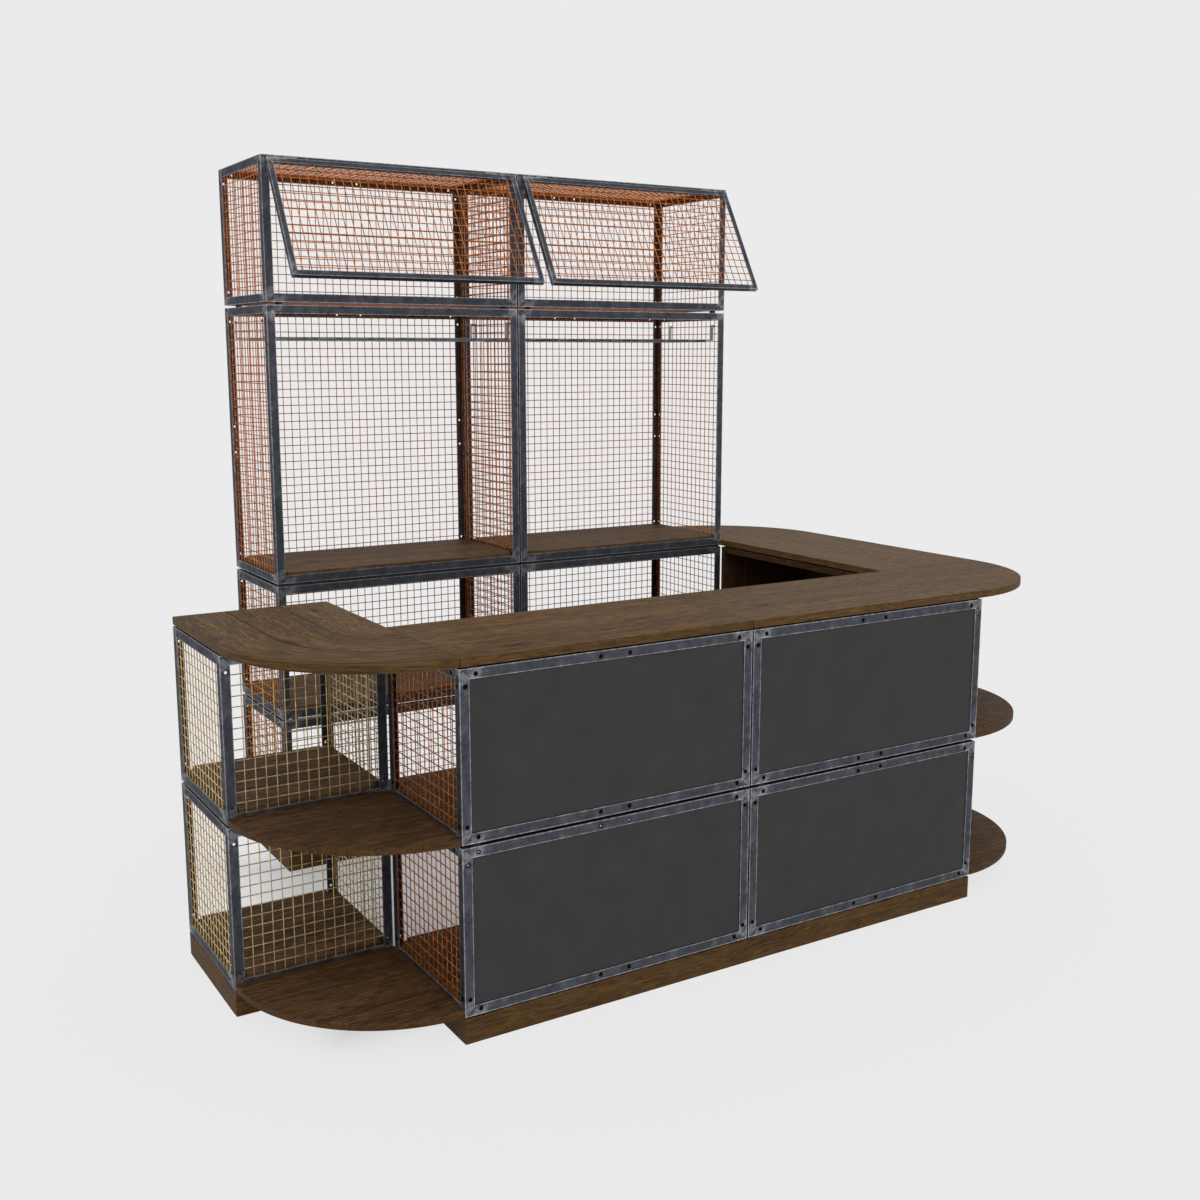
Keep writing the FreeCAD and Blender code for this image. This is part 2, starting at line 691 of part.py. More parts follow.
fixed = []
for side, (x, y) in zip(SIDES, BACK):
    hung_frame = placed(side + "_door_hung", door, "flap_inset", DOOR_Y, DOOR_Z)
    hung_net = placed(side + "_net_hung", net_door, "flap_inset + steel + play",
                      DOOR_Y + " + steel + wire", DOOR_Z + " + steel + play",
                      UPRIGHT_X)
    hung_leaves = group(side + "_leaves_hung",
                        [placed("%s_leaf%d" % (side, number), leaf_moving, place)
                         for number, place in enumerate(HINGES)])
    node(side + "_flap_frame", [opened(side + "_flap_frame_at", hung_frame, x)])
    node(side + "_flap_net", [opened(side + "_flap_net_at", hung_net, x)])
    node(side + "_flap_leaves", [opened(side + "_flap_leaves_at", hung_leaves, x)])
    for place in HINGES:
        fixed.append(placed("fixed_leaf%d" % len(fixed), leaf_fixed,
                            "%s + %s" % (x, place), AXIS_Y, AXIS_Z))
node("hinge_leaves", fixed)


# Glass racks.

SEAT = THIRD + " + tall / 2 + hook_row * wire_pitch + net_bar / 2"
CROSS_Z = SEAT + " - rack_drop"
HOOK_PLACES = ("cube / 2 - hook_front_cells * wire_pitch",
               "cube / 2 + hook_back_cells * wire_pitch")


def hook(name):
    """A strap that hangs on a wire: its inner face on the net at x = 0.

    It is centred on y = 0, and z = 0 is the top of the wire.
    """
    pieces = [
        box(name + "_strip", "strap", "strap_width", "rack_drop + 2 * strap", "0",
            "-strap_width / 2", "-(rack_drop + strap)"),
        box(name + "_top", "wire + 2 * strap", "strap_width", "strap",
            "-(wire + strap)", "-strap_width / 2", "0"),
        box(name + "_lip", "strap", "strap_width", "hook_lip + strap",
            "-(wire + strap)", "-strap_width / 2", "-hook_lip"),
        box(name + "_foot", "hook_foot", "strap_width", "strap", "0",
            "-strap_width / 2", "-(rack_drop + strap)"),
    ]
    return fuse(name, pieces)


def rail_strip(name):
    """Half a channel: a flat strip along y with its lip turned up at x = 0."""
    flat = box(name + "_flat", "channel_half - slot_half", "rack_depth", "rail")
    lip = box(name + "_lip", "rail", "rack_depth", "rail_lip")
    return fuse(name, [flat, lip])


strap_hook = hook("strap_hook")
rail_piece = rail_strip("rail_piece")

hooks = []
for side, (x, y) in zip(SIDES, BACK):
    pieces = []
    for number in range(CHANNELS_PER_RACK):
        middle = "%s + wide / 2 + %d * rack_pitch" % (x, number - CHANNELS_PER_RACK // 2)
        front = y + " + rack_front"
        low = CROSS_Z + " - rail_lip"
        pieces.append(placed("%s_rail_l%d" % (side, number), rail_piece,
                             middle + " - channel_half", front, low))
        pieces.append(placed("%s_rail_r%d" % (side, number), rail_piece,
                             middle + " + channel_half", front + " + rack_depth", low,
                             [(-1, 0, 0), (0, -1, 0), (0, 0, 1)]))
    for number, place in enumerate(HOOK_PLACES):
        pieces.append(box("%s_cross%d" % (side, number),
                          "wide - 2 * (steel + wire + strap)", "cross_bar",
                          "cross_thick", x + " + steel + wire + strap",
                          "%s + %s - cross_bar / 2" % (y, place), CROSS_Z))
        hooks.append(placed("%s_hook_l%d" % (side, number), strap_hook,
                            x + " + steel + wire", "%s + %s" % (y, place), SEAT))
        hooks.append(placed("%s_hook_r%d" % (side, number), strap_hook,
                            x + " + wide - steel - wire", "%s + %s" % (y, place), SEAT,
                            [(-1, 0, 0), (0, -1, 0), (0, 0, 1)]))
    node(side + "_rack", pieces)
node("rack_hooks", hooks)


# Check and write.

doc.recompute()
for thing in doc.Objects:
    if "Invalid" in thing.State or "Error" in thing.State:
        raise RuntimeError("%s: %s" % (thing.Name, thing.State))
for piece in nodes:
    if piece.Shape.isNull() or not piece.Shape.isValid():
        raise RuntimeError(piece.Label)
    if not piece.Shape.Solids:
        raise RuntimeError(piece.Label + " has no solid")

os.makedirs("parts", exist_ok=True)
for piece in nodes:
    piece.Shape.exportStep("parts/%s.step" % piece.Label)
    print("%-26s %4d solids %12.0f mm3" % (piece.Label, len(piece.Shape.Solids),
                                          piece.Shape.Volume))
print(len(nodes), "sub-parts")
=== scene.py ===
# %% [markdown]
# A walk-in bar of welded steel modules.
# The real bar is bolted together from cubes of angle steel, closed with wire mesh and dark
# boards, and topped with oiled oak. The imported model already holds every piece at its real
# size, so this lesson only gives the pieces their looks: some keep their own mesh and get a
# finish, and others are replaced by a finer mesh in exactly the same place.

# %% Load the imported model
import json
import math
from functools import partial

import bmesh
import bpy
from mathutils import Matrix, Vector

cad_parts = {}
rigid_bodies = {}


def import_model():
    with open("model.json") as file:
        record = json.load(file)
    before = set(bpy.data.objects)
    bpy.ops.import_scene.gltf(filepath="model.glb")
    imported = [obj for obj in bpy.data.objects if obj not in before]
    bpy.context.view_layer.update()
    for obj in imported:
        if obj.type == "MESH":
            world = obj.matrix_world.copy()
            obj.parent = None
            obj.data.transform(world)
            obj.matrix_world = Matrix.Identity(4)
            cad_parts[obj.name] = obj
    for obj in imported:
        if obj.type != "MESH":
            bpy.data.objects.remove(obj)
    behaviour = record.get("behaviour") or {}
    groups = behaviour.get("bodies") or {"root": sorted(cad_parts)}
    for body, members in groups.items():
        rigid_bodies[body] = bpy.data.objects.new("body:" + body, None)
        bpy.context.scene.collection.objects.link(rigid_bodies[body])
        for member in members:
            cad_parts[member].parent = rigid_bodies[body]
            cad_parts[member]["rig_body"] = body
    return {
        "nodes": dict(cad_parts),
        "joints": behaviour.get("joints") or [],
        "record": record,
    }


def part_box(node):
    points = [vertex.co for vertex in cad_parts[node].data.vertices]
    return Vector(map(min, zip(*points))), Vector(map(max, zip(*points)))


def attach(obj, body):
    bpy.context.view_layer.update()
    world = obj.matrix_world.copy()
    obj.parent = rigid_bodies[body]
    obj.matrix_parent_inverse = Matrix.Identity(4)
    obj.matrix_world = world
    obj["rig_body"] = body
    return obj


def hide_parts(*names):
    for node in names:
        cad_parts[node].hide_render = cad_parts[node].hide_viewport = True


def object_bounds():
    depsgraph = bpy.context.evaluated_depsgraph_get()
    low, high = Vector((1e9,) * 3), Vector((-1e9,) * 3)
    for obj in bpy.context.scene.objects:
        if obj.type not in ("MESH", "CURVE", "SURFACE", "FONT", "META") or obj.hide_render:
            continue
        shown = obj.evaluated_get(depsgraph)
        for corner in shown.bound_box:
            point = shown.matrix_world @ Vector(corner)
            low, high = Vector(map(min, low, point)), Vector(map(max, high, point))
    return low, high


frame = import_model()
cad_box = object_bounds()
slots = {part["node"]: part["material_slot"] for part in frame["record"]["subparts"]}
body_of_node = {name: thing["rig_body"] for name, thing in frame["nodes"].items()}
print("nodes", len(frame["nodes"]), "box", [tuple(corner) for corner in cad_box])

# %% [markdown]
# The camera.
# The photograph was taken from the front left, a little above the worktop. A camera can be
# matched by eye or solved from corners that are easy to find, as was done here with the
# corners of the modules. The focal length goes with a 36 mm sensor, and the small shift
# covers what was cropped off the picture.

# %% Set the camera
MM = 0.001
CAMERA_PLACE = (-2.5367, -4.2096, 1.9351)
CAMERA_TILT = 9.84
CAMERA_TURN = -31.72
CAMERA_LENS = 40.27
CAMERA_SHIFT = -0.0119
SENSOR = 36.0


def link(name, data):
    """A new object in the scene."""
    thing = bpy.data.objects.new(name, data)
    bpy.context.scene.collection.objects.link(thing)
    return thing


camera_data = bpy.data.cameras.new("camera")
camera_data.sensor_width = SENSOR
camera_data.lens = CAMERA_LENS
camera_data.shift_y = CAMERA_SHIFT
camera = link("camera", camera_data)
camera.location = CAMERA_PLACE
camera.rotation_euler = (math.radians(90 - CAMERA_TILT), 0, math.radians(CAMERA_TURN))
bpy.context.scene.camera = camera
bpy.context.scene.view_settings.view_transform = "Standard"
print("camera", CAMERA_PLACE, "lens", CAMERA_LENS)

# %% [markdown]
# Small helpers.
# A node tree is easier to read when one line adds a node with its settings and its links.
# Colours are picked as they look on a screen, so one function turns them into the linear
# values that light works with.

# %% Helpers for node trees and colours


def linear(code):
    """A colour such as "#AA5A3C" in linear light."""
    parts = [int(code[place:place + 2], 16) / 255 for place in (1, 3, 5)]
    shades = [p / 12.92 if p <= 0.04045 else ((p + 0.055) / 1.055) ** 2.4 for p in parts]
    return (*shades, 1.0)


def fill(made, inputs):
    """Sets a node's inputs, by name or number in a dict, or in their order in a tuple.

    Each is a value, a node, a socket, or a list of sockets.
    """
    for key, value in (dict(enumerate(inputs)) if isinstance(inputs, tuple) else inputs).items():
        for item in value if isinstance(value, list) else [value]:
            if isinstance(item, bpy.types.Node):
                item = item.outputs[0]
            if isinstance(item, bpy.types.NodeSocket):
                made.id_data.links.new(item, made.inputs[key])
            else:
                made.inputs[key].default_value = item


def add(tree, kind, inputs=(), operation=None, **settings):
    """Adds a node. A kind such as Math is short for ShaderNodeMath."""
    made = tree.nodes.new(kind if "Node" in kind else "ShaderNode" + kind)
    if operation:
        made.operation = operation
    for key, value in settings.items():
        setattr(made, key, value)
    fill(made, inputs)
    return made


def empty_tree(owner):
    """Clears a material's or the world's nodes, and gives what adds nodes there."""
    owner.use_nodes = True
    owner.node_tree.nodes.clear()
    return partial(add, owner.node_tree)


def new_material(name):
    """A material, what adds nodes to it, and its surface shader."""
    material = bpy.data.materials.new(name)
    node = empty_tree(material)
    shader = node("BsdfPrincipled")
    node("OutputMaterial", {"Surface": shader})
    return material, node, shader


def ramp(node, value, stops):
    """Colours along a value, from (position, hex colour) pairs."""
    made = node("ValToRGB", (value,))
    band = made.color_ramp
    while len(band.elements) < len(stops):
        band.elements.new(0.5)
    for element, (position, code) in zip(band.elements, stops):
        element.position = position
        element.color = linear(code)
    return made.outputs["Color"]


# the colour mixer's sockets, which share their names with its other kinds
MIX_FACTOR = 0
MIX_A = 6
MIX_B = 7
MIX_RESULT = 2
SMOOTH = {"interpolation_type": "SMOOTHSTEP"}
print("white is", linear("#FFFFFF"))

# %% [markdown]
# Blackened angle steel.
# The modules are welded from hot-rolled angle, ground at the joints and sealed with a clear
# coat. It gives the eye a dark blue-grey, with bright edges that are partly wear and partly a
# painted highlight, pale smudges where the welds were ground, and a fine line across each
# mitre. Painted shade makes the bolt holes near black, and on the front modules a ring round
# each. All of that follows the shape of a module, so the material works out how far a point
# is from the module's outer edge and from its corner. A painted texture could do the same,
# but it would have to be painted 16 times.

# %% Measure from a module's edges
FACING = 20.0


def edge_distances(node, pivot, turn, low, high):
    """A point as its module sees it, and how far it is from the module's nearest edges."""
    turned = {"Rotation": (turn, 0, 0)}
    where = node("TexCoord").outputs["Object"]
    place = node("Mapping", {"Vector": where, "Location": pivot, **turned},
                 vector_type="TEXTURE")
    # the flat face's own normal, so that the slivers round a bolt hole stay exact
    flat = node("NewGeometry").outputs["True Normal"]
    own = node("VectorTransform", {"Vector": flat}, vector_type="NORMAL",
               convert_from="WORLD", convert_to="OBJECT")
    facing = node("Mapping", {"Vector": own, **turned}, vector_type="TEXTURE")
    from_low = node("VectorMath", (place, low), "SUBTRACT")
    from_high = node("VectorMath", (high, place), "SUBTRACT")
    inset = node("VectorMath", (from_low, from_high), "MINIMUM")
    level = node("VectorMath", (facing,), "ABSOLUTE")
    # the way that the surface faces is pushed out of the comparison
    pushed = node("VectorMath", (level, (FACING,) * 3, inset), "MULTIPLY_ADD")
    x, y, z = node("SeparateXYZ", (pushed,)).outputs
    low_pair = node("Math", (x, y), "MINIMUM")
    near = node("Math", (low_pair, z), "MINIMUM")
    high_pair = node("Math", (x, y), "MAXIMUM")
    # the middle one of three is the larger of the lower pair and the lesser of the rest
    lesser = node("Math", (high_pair, z), "MINIMUM")
    far = node("Math", (low_pair, lesser), "MAXIMUM")
    return place, near, far


print("distances ready")

# %% Find the marks on an angle
EDGE_WEAR_AND_HIGHLIGHT = 4.0 * MM
LIP_WEAR_AND_HIGHLIGHT = 3.0 * MM
SEAM_WEAR = 2.6 * MM
GRIND_REACH = 95 * MM
LARGEST = 0.6
HOLE_INSET = 17 * MM
HOLE_PLACES = (50 * MM, 450 * MM)
RIM = 7.0 * MM


def weld_marks(node, near, far, leg):
    """Masks of the edges that wear and a painted highlight make bright, the ground corners and
    the weld across the mitre.
    """
    # the bright edges are real wear and also a painted highlight, where the angle's rounded
    # edges would catch the light
    edge = node("MapRange", (near, EDGE_WEAR_AND_HIGHLIGHT, EDGE_WEAR_AND_HIGHLIGHT / 3), **SMOOTH)
    to_lip = node("Math", (near, leg), "SUBTRACT")
    lip_gap = node("Math", (to_lip,), "ABSOLUTE")
    lip = node("MapRange", (lip_gap, LIP_WEAR_AND_HIGHLIGHT, LIP_WEAR_AND_HIGHLIGHT / 3), **SMOOTH)
    past_corner = node("Math", (far, leg - LIP_WEAR_AND_HIGHLIGHT), "GREATER_THAN")
    lip_wear_and_highlight = node("Math", (lip, past_corner), "MULTIPLY")
    wear_and_highlight = node("Math", (edge, lip_wear_and_highlight), "MAXIMUM")
    ground = node("MapRange", (far, GRIND_REACH, leg / 2), **SMOOTH)
    off_mitre = node("Math", (far, near), "SUBTRACT")
    seam = node("MapRange", (off_mitre, SEAM_WEAR, 0.0))
    in_corner = node("Math", (far, leg), "LESS_THAN")
    return wear_and_highlight, ground, node("Math", (seam, in_corner), "MULTIPLY")


def painted_hole_shade(node, far, along_bar, rims):
    """A mask of painted shade on the bolt holes' walls and, with rims, in a ring round each
    hole.
    """
    # painted shade: the walls of the bolt holes are coloured near black, as if in deep shade
    # such a wall faces between two axes, so both of their distances are pushed
    hole_shade_mask = node("Math", (far, LARGEST), "GREATER_THAN")
    for place_along in HOLE_PLACES if rims else ():
        gap = node("VectorMath", (along_bar, (place_along, HOLE_INSET, 0)), "DISTANCE")
        in_rim = node("Math", (gap.outputs["Value"], RIM), "LESS_THAN")
        hole_shade_mask = node("Math", (hole_shade_mask, in_rim), "MAXIMUM")
    return hole_shade_mask


print("holes at", HOLE_PLACES, "with a rim of", RIM)

# %% The steel's finish
LEG = 30 * MM
DOOR_LEG = 20 * MM
CLOUDS_PER_METRE = 26
PATCHES_PER_METRE = 59.8
STREAKS_PER_METRE = (9.0, 420.0, 1.0)
# each range says which values of a noise count, and two more numbers what they become
BODY_RANGE = (0.30, 0.70, 0.08, 0.34)
CHIP_RANGE = (0.36, 0.58)
RUB_RANGE = (0.40, 0.66)
EDGE_RANGE = (0.0, 1.0, 0.45)
SHINE_RANGE = (0.2, 0.9, 0.52, 0.34)
STREAK_WEIGHT = 0.26
SMEAR_WEIGHT = 0.42
MITRE_WEIGHT = 0.28
EDGE_WEAR_AND_HIGHLIGHT_WEIGHT = 0.54
STREAK_RELIEF = 0.35
MITRE_RELIEF = 1.4
# the near black of the painted shade in and round the bolt holes
HOLE_SHADE = "#020202"
GLANCING_TINT = "#ADADB0"


def welded_steel(name, pivot, turn, low, high, leg, shades, rims=False):
    """Steel angle whose wear and painted edge highlights follow a module's edges and corners.

    low and high are the module's corners seen from the pivot, before it is turned.
    rims says whether a ring of painted shade goes round each bolt hole, which makes the dark of
    the hole look wider.
    """
    material, node, shader = new_material(name)
    place, near, far = edge_distances(node, pivot, turn, low, high)
    wear_and_highlight, ground, mitre = weld_marks(node, near, far, leg)
    clouds = node("TexNoise", {"Vector": place, "Scale": CLOUDS_PER_METRE, "Detail": 5.0,
                               "Roughness": 0.62})
    patches = node("TexNoise", {"Vector": place, "Scale": PATCHES_PER_METRE, "Detail": 4.0,
                                "Roughness": 0.7, "Distortion": 0.6})
    # rolling and grinding leave streaks that run along each bar
    along_bar = node("CombineXYZ", (far, near))
    run = node("Mapping", {"Vector": along_bar, "Scale": STREAKS_PER_METRE})
    streaks = node("TexNoise", {"Vector": run, "Scale": 1.0, "Detail": 3.0,
                                "Roughness": 0.55})
    chips = node("MapRange", (patches, *CHIP_RANGE))
    rub = node("MapRange", (clouds, *RUB_RANGE))
    edge_wear = node("MapRange", (chips, *EDGE_RANGE))
    # the edges' wear and their painted highlight go into the tone together
    edge_wear_highlight_tone = node("Math", (wear_and_highlight, edge_wear), "MULTIPLY")
    smear = node("Math", (ground, rub), "MULTIPLY")
    tone = node("MapRange", (clouds, *BODY_RANGE))
    for mark, weight in ((streaks, STREAK_WEIGHT), (smear, SMEAR_WEIGHT),
                         (mitre, MITRE_WEIGHT), (edge_wear_highlight_tone, EDGE_WEAR_AND_HIGHLIGHT_WEIGHT)):
        tone = node("Math", (mark, weight, tone), "MULTIPLY_ADD")
    colour = node("Mix", {MIX_FACTOR: painted_hole_shade(node, far, along_bar, rims),
                          MIX_A: ramp(node, tone, shades), MIX_B: linear(HOLE_SHADE)},
                  data_type="RGBA")
    relief = node("Math", (streaks, STREAK_RELIEF, patches), "MULTIPLY_ADD")
    beads = node("Math", (mitre, MITRE_RELIEF, relief), "MULTIPLY_ADD")
    # the clear coat is thin, so a glancing view gets little extra shine
    fill(shader, {
        "Base Color": colour.outputs[MIX_RESULT], "Metallic": 0.72,
        "Roughness": node("MapRange", (tone, *SHINE_RANGE)),
        "Specular Tint": linear(GLANCING_TINT), "Specular IOR Level": 0.3,
        "Normal": node("Bump", {"Height": beads, "Strength": 0.22, "Distance": 0.4 * MM})})
    return material


FRAME_SHADES = [(0.14, "#303237"), (0.42, "#54565D"), (0.72, "#898B91"), (1.0, "#B8BABD")]
DOOR_SHADES = [(0.14, "#303136"), (0.45, "#51535A"), (0.8, "#84878C"), (1.0, "#A9ABAF")]


def dress(node_name, material):
    """Gives a CAD node its finish."""
    mesh = frame["nodes"][node_name].data
    mesh.materials.clear()
    mesh.materials.append(material)


module_frames = sorted(name for name in frame["nodes"]
                       if "_frame_" in name and not name.endswith("flap_frame"))
for name in module_frames:
    low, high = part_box(name)
    dress(name, welded_steel("blackened_steel_" + name, low, 0.0, (0, 0, 0),
                             tuple(high - low), LEG, FRAME_SHADES,
                             name.startswith("front_frame")))
print("module frames dressed", len(module_frames))

# %% [markdown]
# The doors' place.
# Each door is drawn as the photograph shows it, standing open on its top hinges. A hinge's
# lower limit is the way back to closed, so it also tells how far the door is open now. With
# the hinge as pivot, everything on a door can be worked out as if the door were shut.

# %% Work out the doors
DOOR_END = 15 * MM
DOOR_HEIGHT = 468 * MM
AXIS_TO_DOOR = 4 * MM
DOOR_FRONT = -18 * MM
WALL = 3 * MM

doors = {}
for joint in frame["joints"]:
    side = joint["name"].split("_")[0]
    module_low, module_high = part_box("back_frame_d_" + side)
    half = (module_high.x - module_low.x) / 2 - DOOR_END
    pivot = Vector(joint["pos_m"])
    open_angle = math.radians(-joint["range_deg"][0])
    doors[side] = {
        "body": joint["child"], "pivot": pivot,
        "low": Vector((-half, DOOR_FRONT, -AXIS_TO_DOOR - DOOR_HEIGHT)),
        "high": Vector((half, DOOR_FRONT + DOOR_LEG, -AXIS_TO_DOOR)),
        "matrix": Matrix.Translation(pivot) @ Matrix.Rotation(-open_angle, 4, "X"),
    }
    name = side + "_flap_frame"
    dress(name, welded_steel("blackened_steel_" + name, pivot, -open_angle,
                             tuple(doors[side]["low"]), tuple(doors[side]["high"]),
                             DOOR_LEG, DOOR_SHADES))
    print(name, "open by", round(math.degrees(open_angle), 1), "degrees")

# %% [markdown]
# Welded wire mesh.
# Real mesh is two layers of straight wires laid across each other and pressed together
# while they are welded, so they sink a little into each other. It repeats by rule, which is
# what Geometry Nodes are good at: one small tree lays a row of wires, and a second uses it
# twice, the other row turned by a quarter turn. Each panel size is made once, and its mesh is
# then set against the inside of the flanges wherever a module has that panel.

# %% The tree for one row of wires
WIRE = 3.3 * MM
PITCH = 31.75 * MM
PANEL_DEPTH = 4.6 * MM
WIRE_SIDES = 10
QUARTER = math.radians(90)


def new_tree(name, *labels):
    """A Geometry Nodes tree with named inputs, what adds nodes to it, and its inputs."""
    tree = bpy.data.node_groups.new(name, "GeometryNodeTree")
    tree.interface.new_socket("Geometry", in_out="OUTPUT", socket_type="NodeSocketGeometry")
    for label in labels:
        kind = "NodeSocketMaterial" if label == "Finish" else "NodeSocketFloat"
        tree.interface.new_socket(label, in_out="INPUT", socket_type=kind)
    node = partial(add, tree)
    return tree, node, node("NodeGroupInput").outputs


row_tree, node, given = new_tree("wire_row", "Length", "Span", "Pitch", "Wire", "Lift")
radius = node("Math", (given["Wire"], 0.5), "MULTIPLY")
reach = node("Math", (given["Span"], 0.5), "MULTIPLY")
free = node("Math", (reach, given["Wire"]), "SUBTRACT")
steps = node("Math", (free, given["Pitch"]), "DIVIDE")
whole = node("Math", (steps,), "FLOOR")
count = node("Math", (whole, 2.0, 1.0), "MULTIPLY_ADD")
first = node("Math", (whole, given["Pitch"]), "MULTIPLY")
first_x = node("Math", (first, -1.0), "MULTIPLY")
start = node("CombineXYZ", {"X": first_x, "Z": given["Lift"]})
step = node("CombineXYZ", {"X": given["Pitch"]})
inner_line = node("GeometryNodeMeshLine",
                  {"Count": count, "Start Location": start, "Offset": step})
edge_x = node("Math", (radius, reach), "SUBTRACT")
edge_start = node("CombineXYZ", {"X": edge_x, "Z": given["Lift"]})
edge_gap = node("Math", (edge_x, -2.0), "MULTIPLY")
edge_step = node("CombineXYZ", {"X": edge_gap})
edge_line = node("GeometryNodeMeshLine",
                 {"Count": 2, "Start Location": edge_start, "Offset": edge_step})
points = node("GeometryNodeJoinGeometry",
              {"Geometry": [inner_line.outputs[0], edge_line.outputs[0]]})
rod = node("GeometryNodeMeshCylinder",
           {"Vertices": WIRE_SIDES, "Radius": radius, "Depth": given["Length"]})
wires = node("GeometryNodeInstanceOnPoints",
             {"Points": points, "Instance": rod, "Rotation": (QUARTER, 0, 0)})
node("NodeGroupOutput", (wires,))
print("row tree has", len(row_tree.nodes), "nodes")

# %% The tree for a panel
panel_tree, node, given = new_tree("mesh_panel", "Width", "Height", "Pitch", "Wire", "Depth",
                                   "Finish")
radius = node("Math", (given["Wire"], 0.5), "MULTIPLY")
inner_lift = node("Math", (given["Depth"], radius), "SUBTRACT")
upright, level = [
    node("GeometryNodeGroup",
         {"Length": given[length], "Span": given[span], "Pitch": given["Pitch"],
          "Wire": given["Wire"], "Lift": lift}, node_tree=row_tree)
    for length, span, lift in (("Height", "Width", radius), ("Width", "Height", inner_lift))]
turned = node("GeometryNodeTransform", {"Geometry": level, "Rotation": (0, 0, QUARTER)})
both = node("GeometryNodeJoinGeometry",
            {"Geometry": [upright.outputs[0], turned.outputs[0]]})
smooth = node("GeometryNodeSetShadeSmooth", {"Geometry": both})
real = node("GeometryNodeRealizeInstances", {"Geometry": smooth})
painted = node("GeometryNodeSetMaterial", {"Geometry": real, "Material": given["Finish"]})
node("NodeGroupOutput", (painted,))
print("panel tree has", len(panel_tree.nodes), "nodes")

# %% [markdown]
# Coated wire.
# The mesh is steel wire with a baked metallic coating, copper-red on most panels and pale
# gold on the left return. It gives the eye a satin colour that thins to brown where the
# coating gathered at the welds. Clouds of noise at the size of a mesh and a finer one at the
# size of the wire do that.

# %% The wire's two finishes
WIRE_CLOUDS_PER_METRE = 60
WIRE_GRIT_PER_METRE = 500
GRIT_WEIGHT = 0.3
WIRE_STOPS = (0.45, 0.64, 0.85)
WIRE_SHINE = (0.0, 1.0, 0.34, 0.5)


def coated_wire(name, *shades):
    """Wire with a satin metallic coating, in a dark, a middle and a light shade."""
    material, node, shader = new_material(name)
    where = node("TexCoord").outputs["Object"]
    clouds = node("TexNoise", {"Vector": where, "Scale": WIRE_CLOUDS_PER_METRE,
                               "Detail": 3.0})
    grit = node("TexNoise", {"Vector": where, "Scale": WIRE_GRIT_PER_METRE, "Detail": 2.0})
    mixed = node("Math", (grit, GRIT_WEIGHT, clouds), "MULTIPLY_ADD")
    fill(shader, {
        "Base Color": ramp(node, mixed, list(zip(WIRE_STOPS, shades))), "Metallic": 0.7,
        "Roughness": node("MapRange", (grit, *WIRE_SHINE)),
        "Normal": node("Bump", {"Height": grit, "Strength": 0.15, "Distance": 0.2 * MM})})
    return material


wire_finish = {
    "red_wire": coated_wire("copper_red_coated_wire", "#7F3D0E", "#B6641B", "#DD8636"),
    "gold_wire": coated_wire("pale_gold_coated_wire", "#A08254", "#CFB27C", "#E7D1A6"),
}
print("wire finishes", list(wire_finish))

# %% [markdown]
# Set the panels in their modules.
# A panel is made lying flat, and a matrix stands it against one face of a module. Its first
# two columns say where the panel's width and height go, and the third points into the
# module, so the panel always lies on the inside of the flange.

# %% Make one panel
FACES = {
    "left": ((0, 1, 0), (0, 0, 1), (1, 0, 0)),
    "right": ((0, -1, 0), (0, 0, 1), (-1, 0, 0)),
    "front": ((-1, 0, 0), (0, 0, 1), (0, 1, 0)),
    "back": ((1, 0, 0), (0, 0, 1), (0, -1, 0)),
    "bottom": ((1, 0, 0), (0, 1, 0), (0, 0, 1)),
    "top": ((-1, 0, 0), (0, 1, 0), (0, 0, -1)),
}
SHARP_EDGE = math.radians(50)


def evaluated_mesh(thing):
    """The plain mesh that an object's modifiers make; the object goes."""
    graph = bpy.context.evaluated_depsgraph_get()
    mesh = bpy.data.meshes.new_from_object(thing.evaluated_get(graph), depsgraph=graph)
    bpy.data.objects.remove(thing)
    return mesh


def tree_mesh(tree, values):
    """The plain mesh that a Geometry Nodes tree makes with these inputs."""
    thing = link(tree.name, bpy.data.meshes.new(tree.name))
    modifier = thing.modifiers.new(tree.name, "NODES")
    modifier.node_group = tree
    for socket in tree.interface.items_tree:
        if socket.name in values:
            modifier[socket.identifier] = values[socket.name]
    return evaluated_mesh(thing)


def face_matrix(face, low, high, wall):
    """Stands a flat panel against the inside of one face of a box."""
    across, up, inward = (Vector(axis) for axis in FACES[face])
    outer = (low + high) / 2 - Vector([a * b / 2 for a, b in zip(inward, high - low)])
    turn = Matrix((across, up, inward)).transposed().to_4x4()
    return Matrix.Translation(outer + inward * wall) @ turn


def panel_size(face, low, high, inset, side_inset):
    """Width and height of the panel that fits one face of a box."""
    span = high - low
    width, height = (sum(abs(a) * b for a, b in zip(axis, span)) for axis in FACES[face][:2])
    return width - 2 * side_inset, height - 2 * inset


panel_store = {}


def panel_mesh(size, finish):
    """A flat mesh panel, made the first time that its size is asked for."""
    key = (round(size[0], 4), round(size[1], 4), finish.name)
    if key not in panel_store:
        panel_store[key] = tree_mesh(panel_tree, {
            "Width": size[0], "Height": size[1], "Pitch": PITCH, "Wire": WIRE,
            "Depth": PANEL_DEPTH, "Finish": finish})
    return panel_store[key]


def joined(name, placed, finish):
    """One object from copies of meshes, each given as (mesh, matrix)."""
    form = bmesh.new()
    for source, matrix in placed:
        copy = source.copy()
        copy.transform(matrix)
        form.from_mesh(copy)
        bpy.data.meshes.remove(copy)
    mesh = bpy.data.meshes.new(name)
    form.to_mesh(mesh)
    form.free()
    mesh.materials.append(finish)
    mesh.set_sharp_from_angle(angle=SHARP_EDGE)
    return link(name, mesh)


def stand_for(thing, node_name):
    """Lets a finished piece ride and replace its CAD node."""
    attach(thing, body_of_node[node_name])
    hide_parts(node_name)


print("panels stand on", list(FACES))

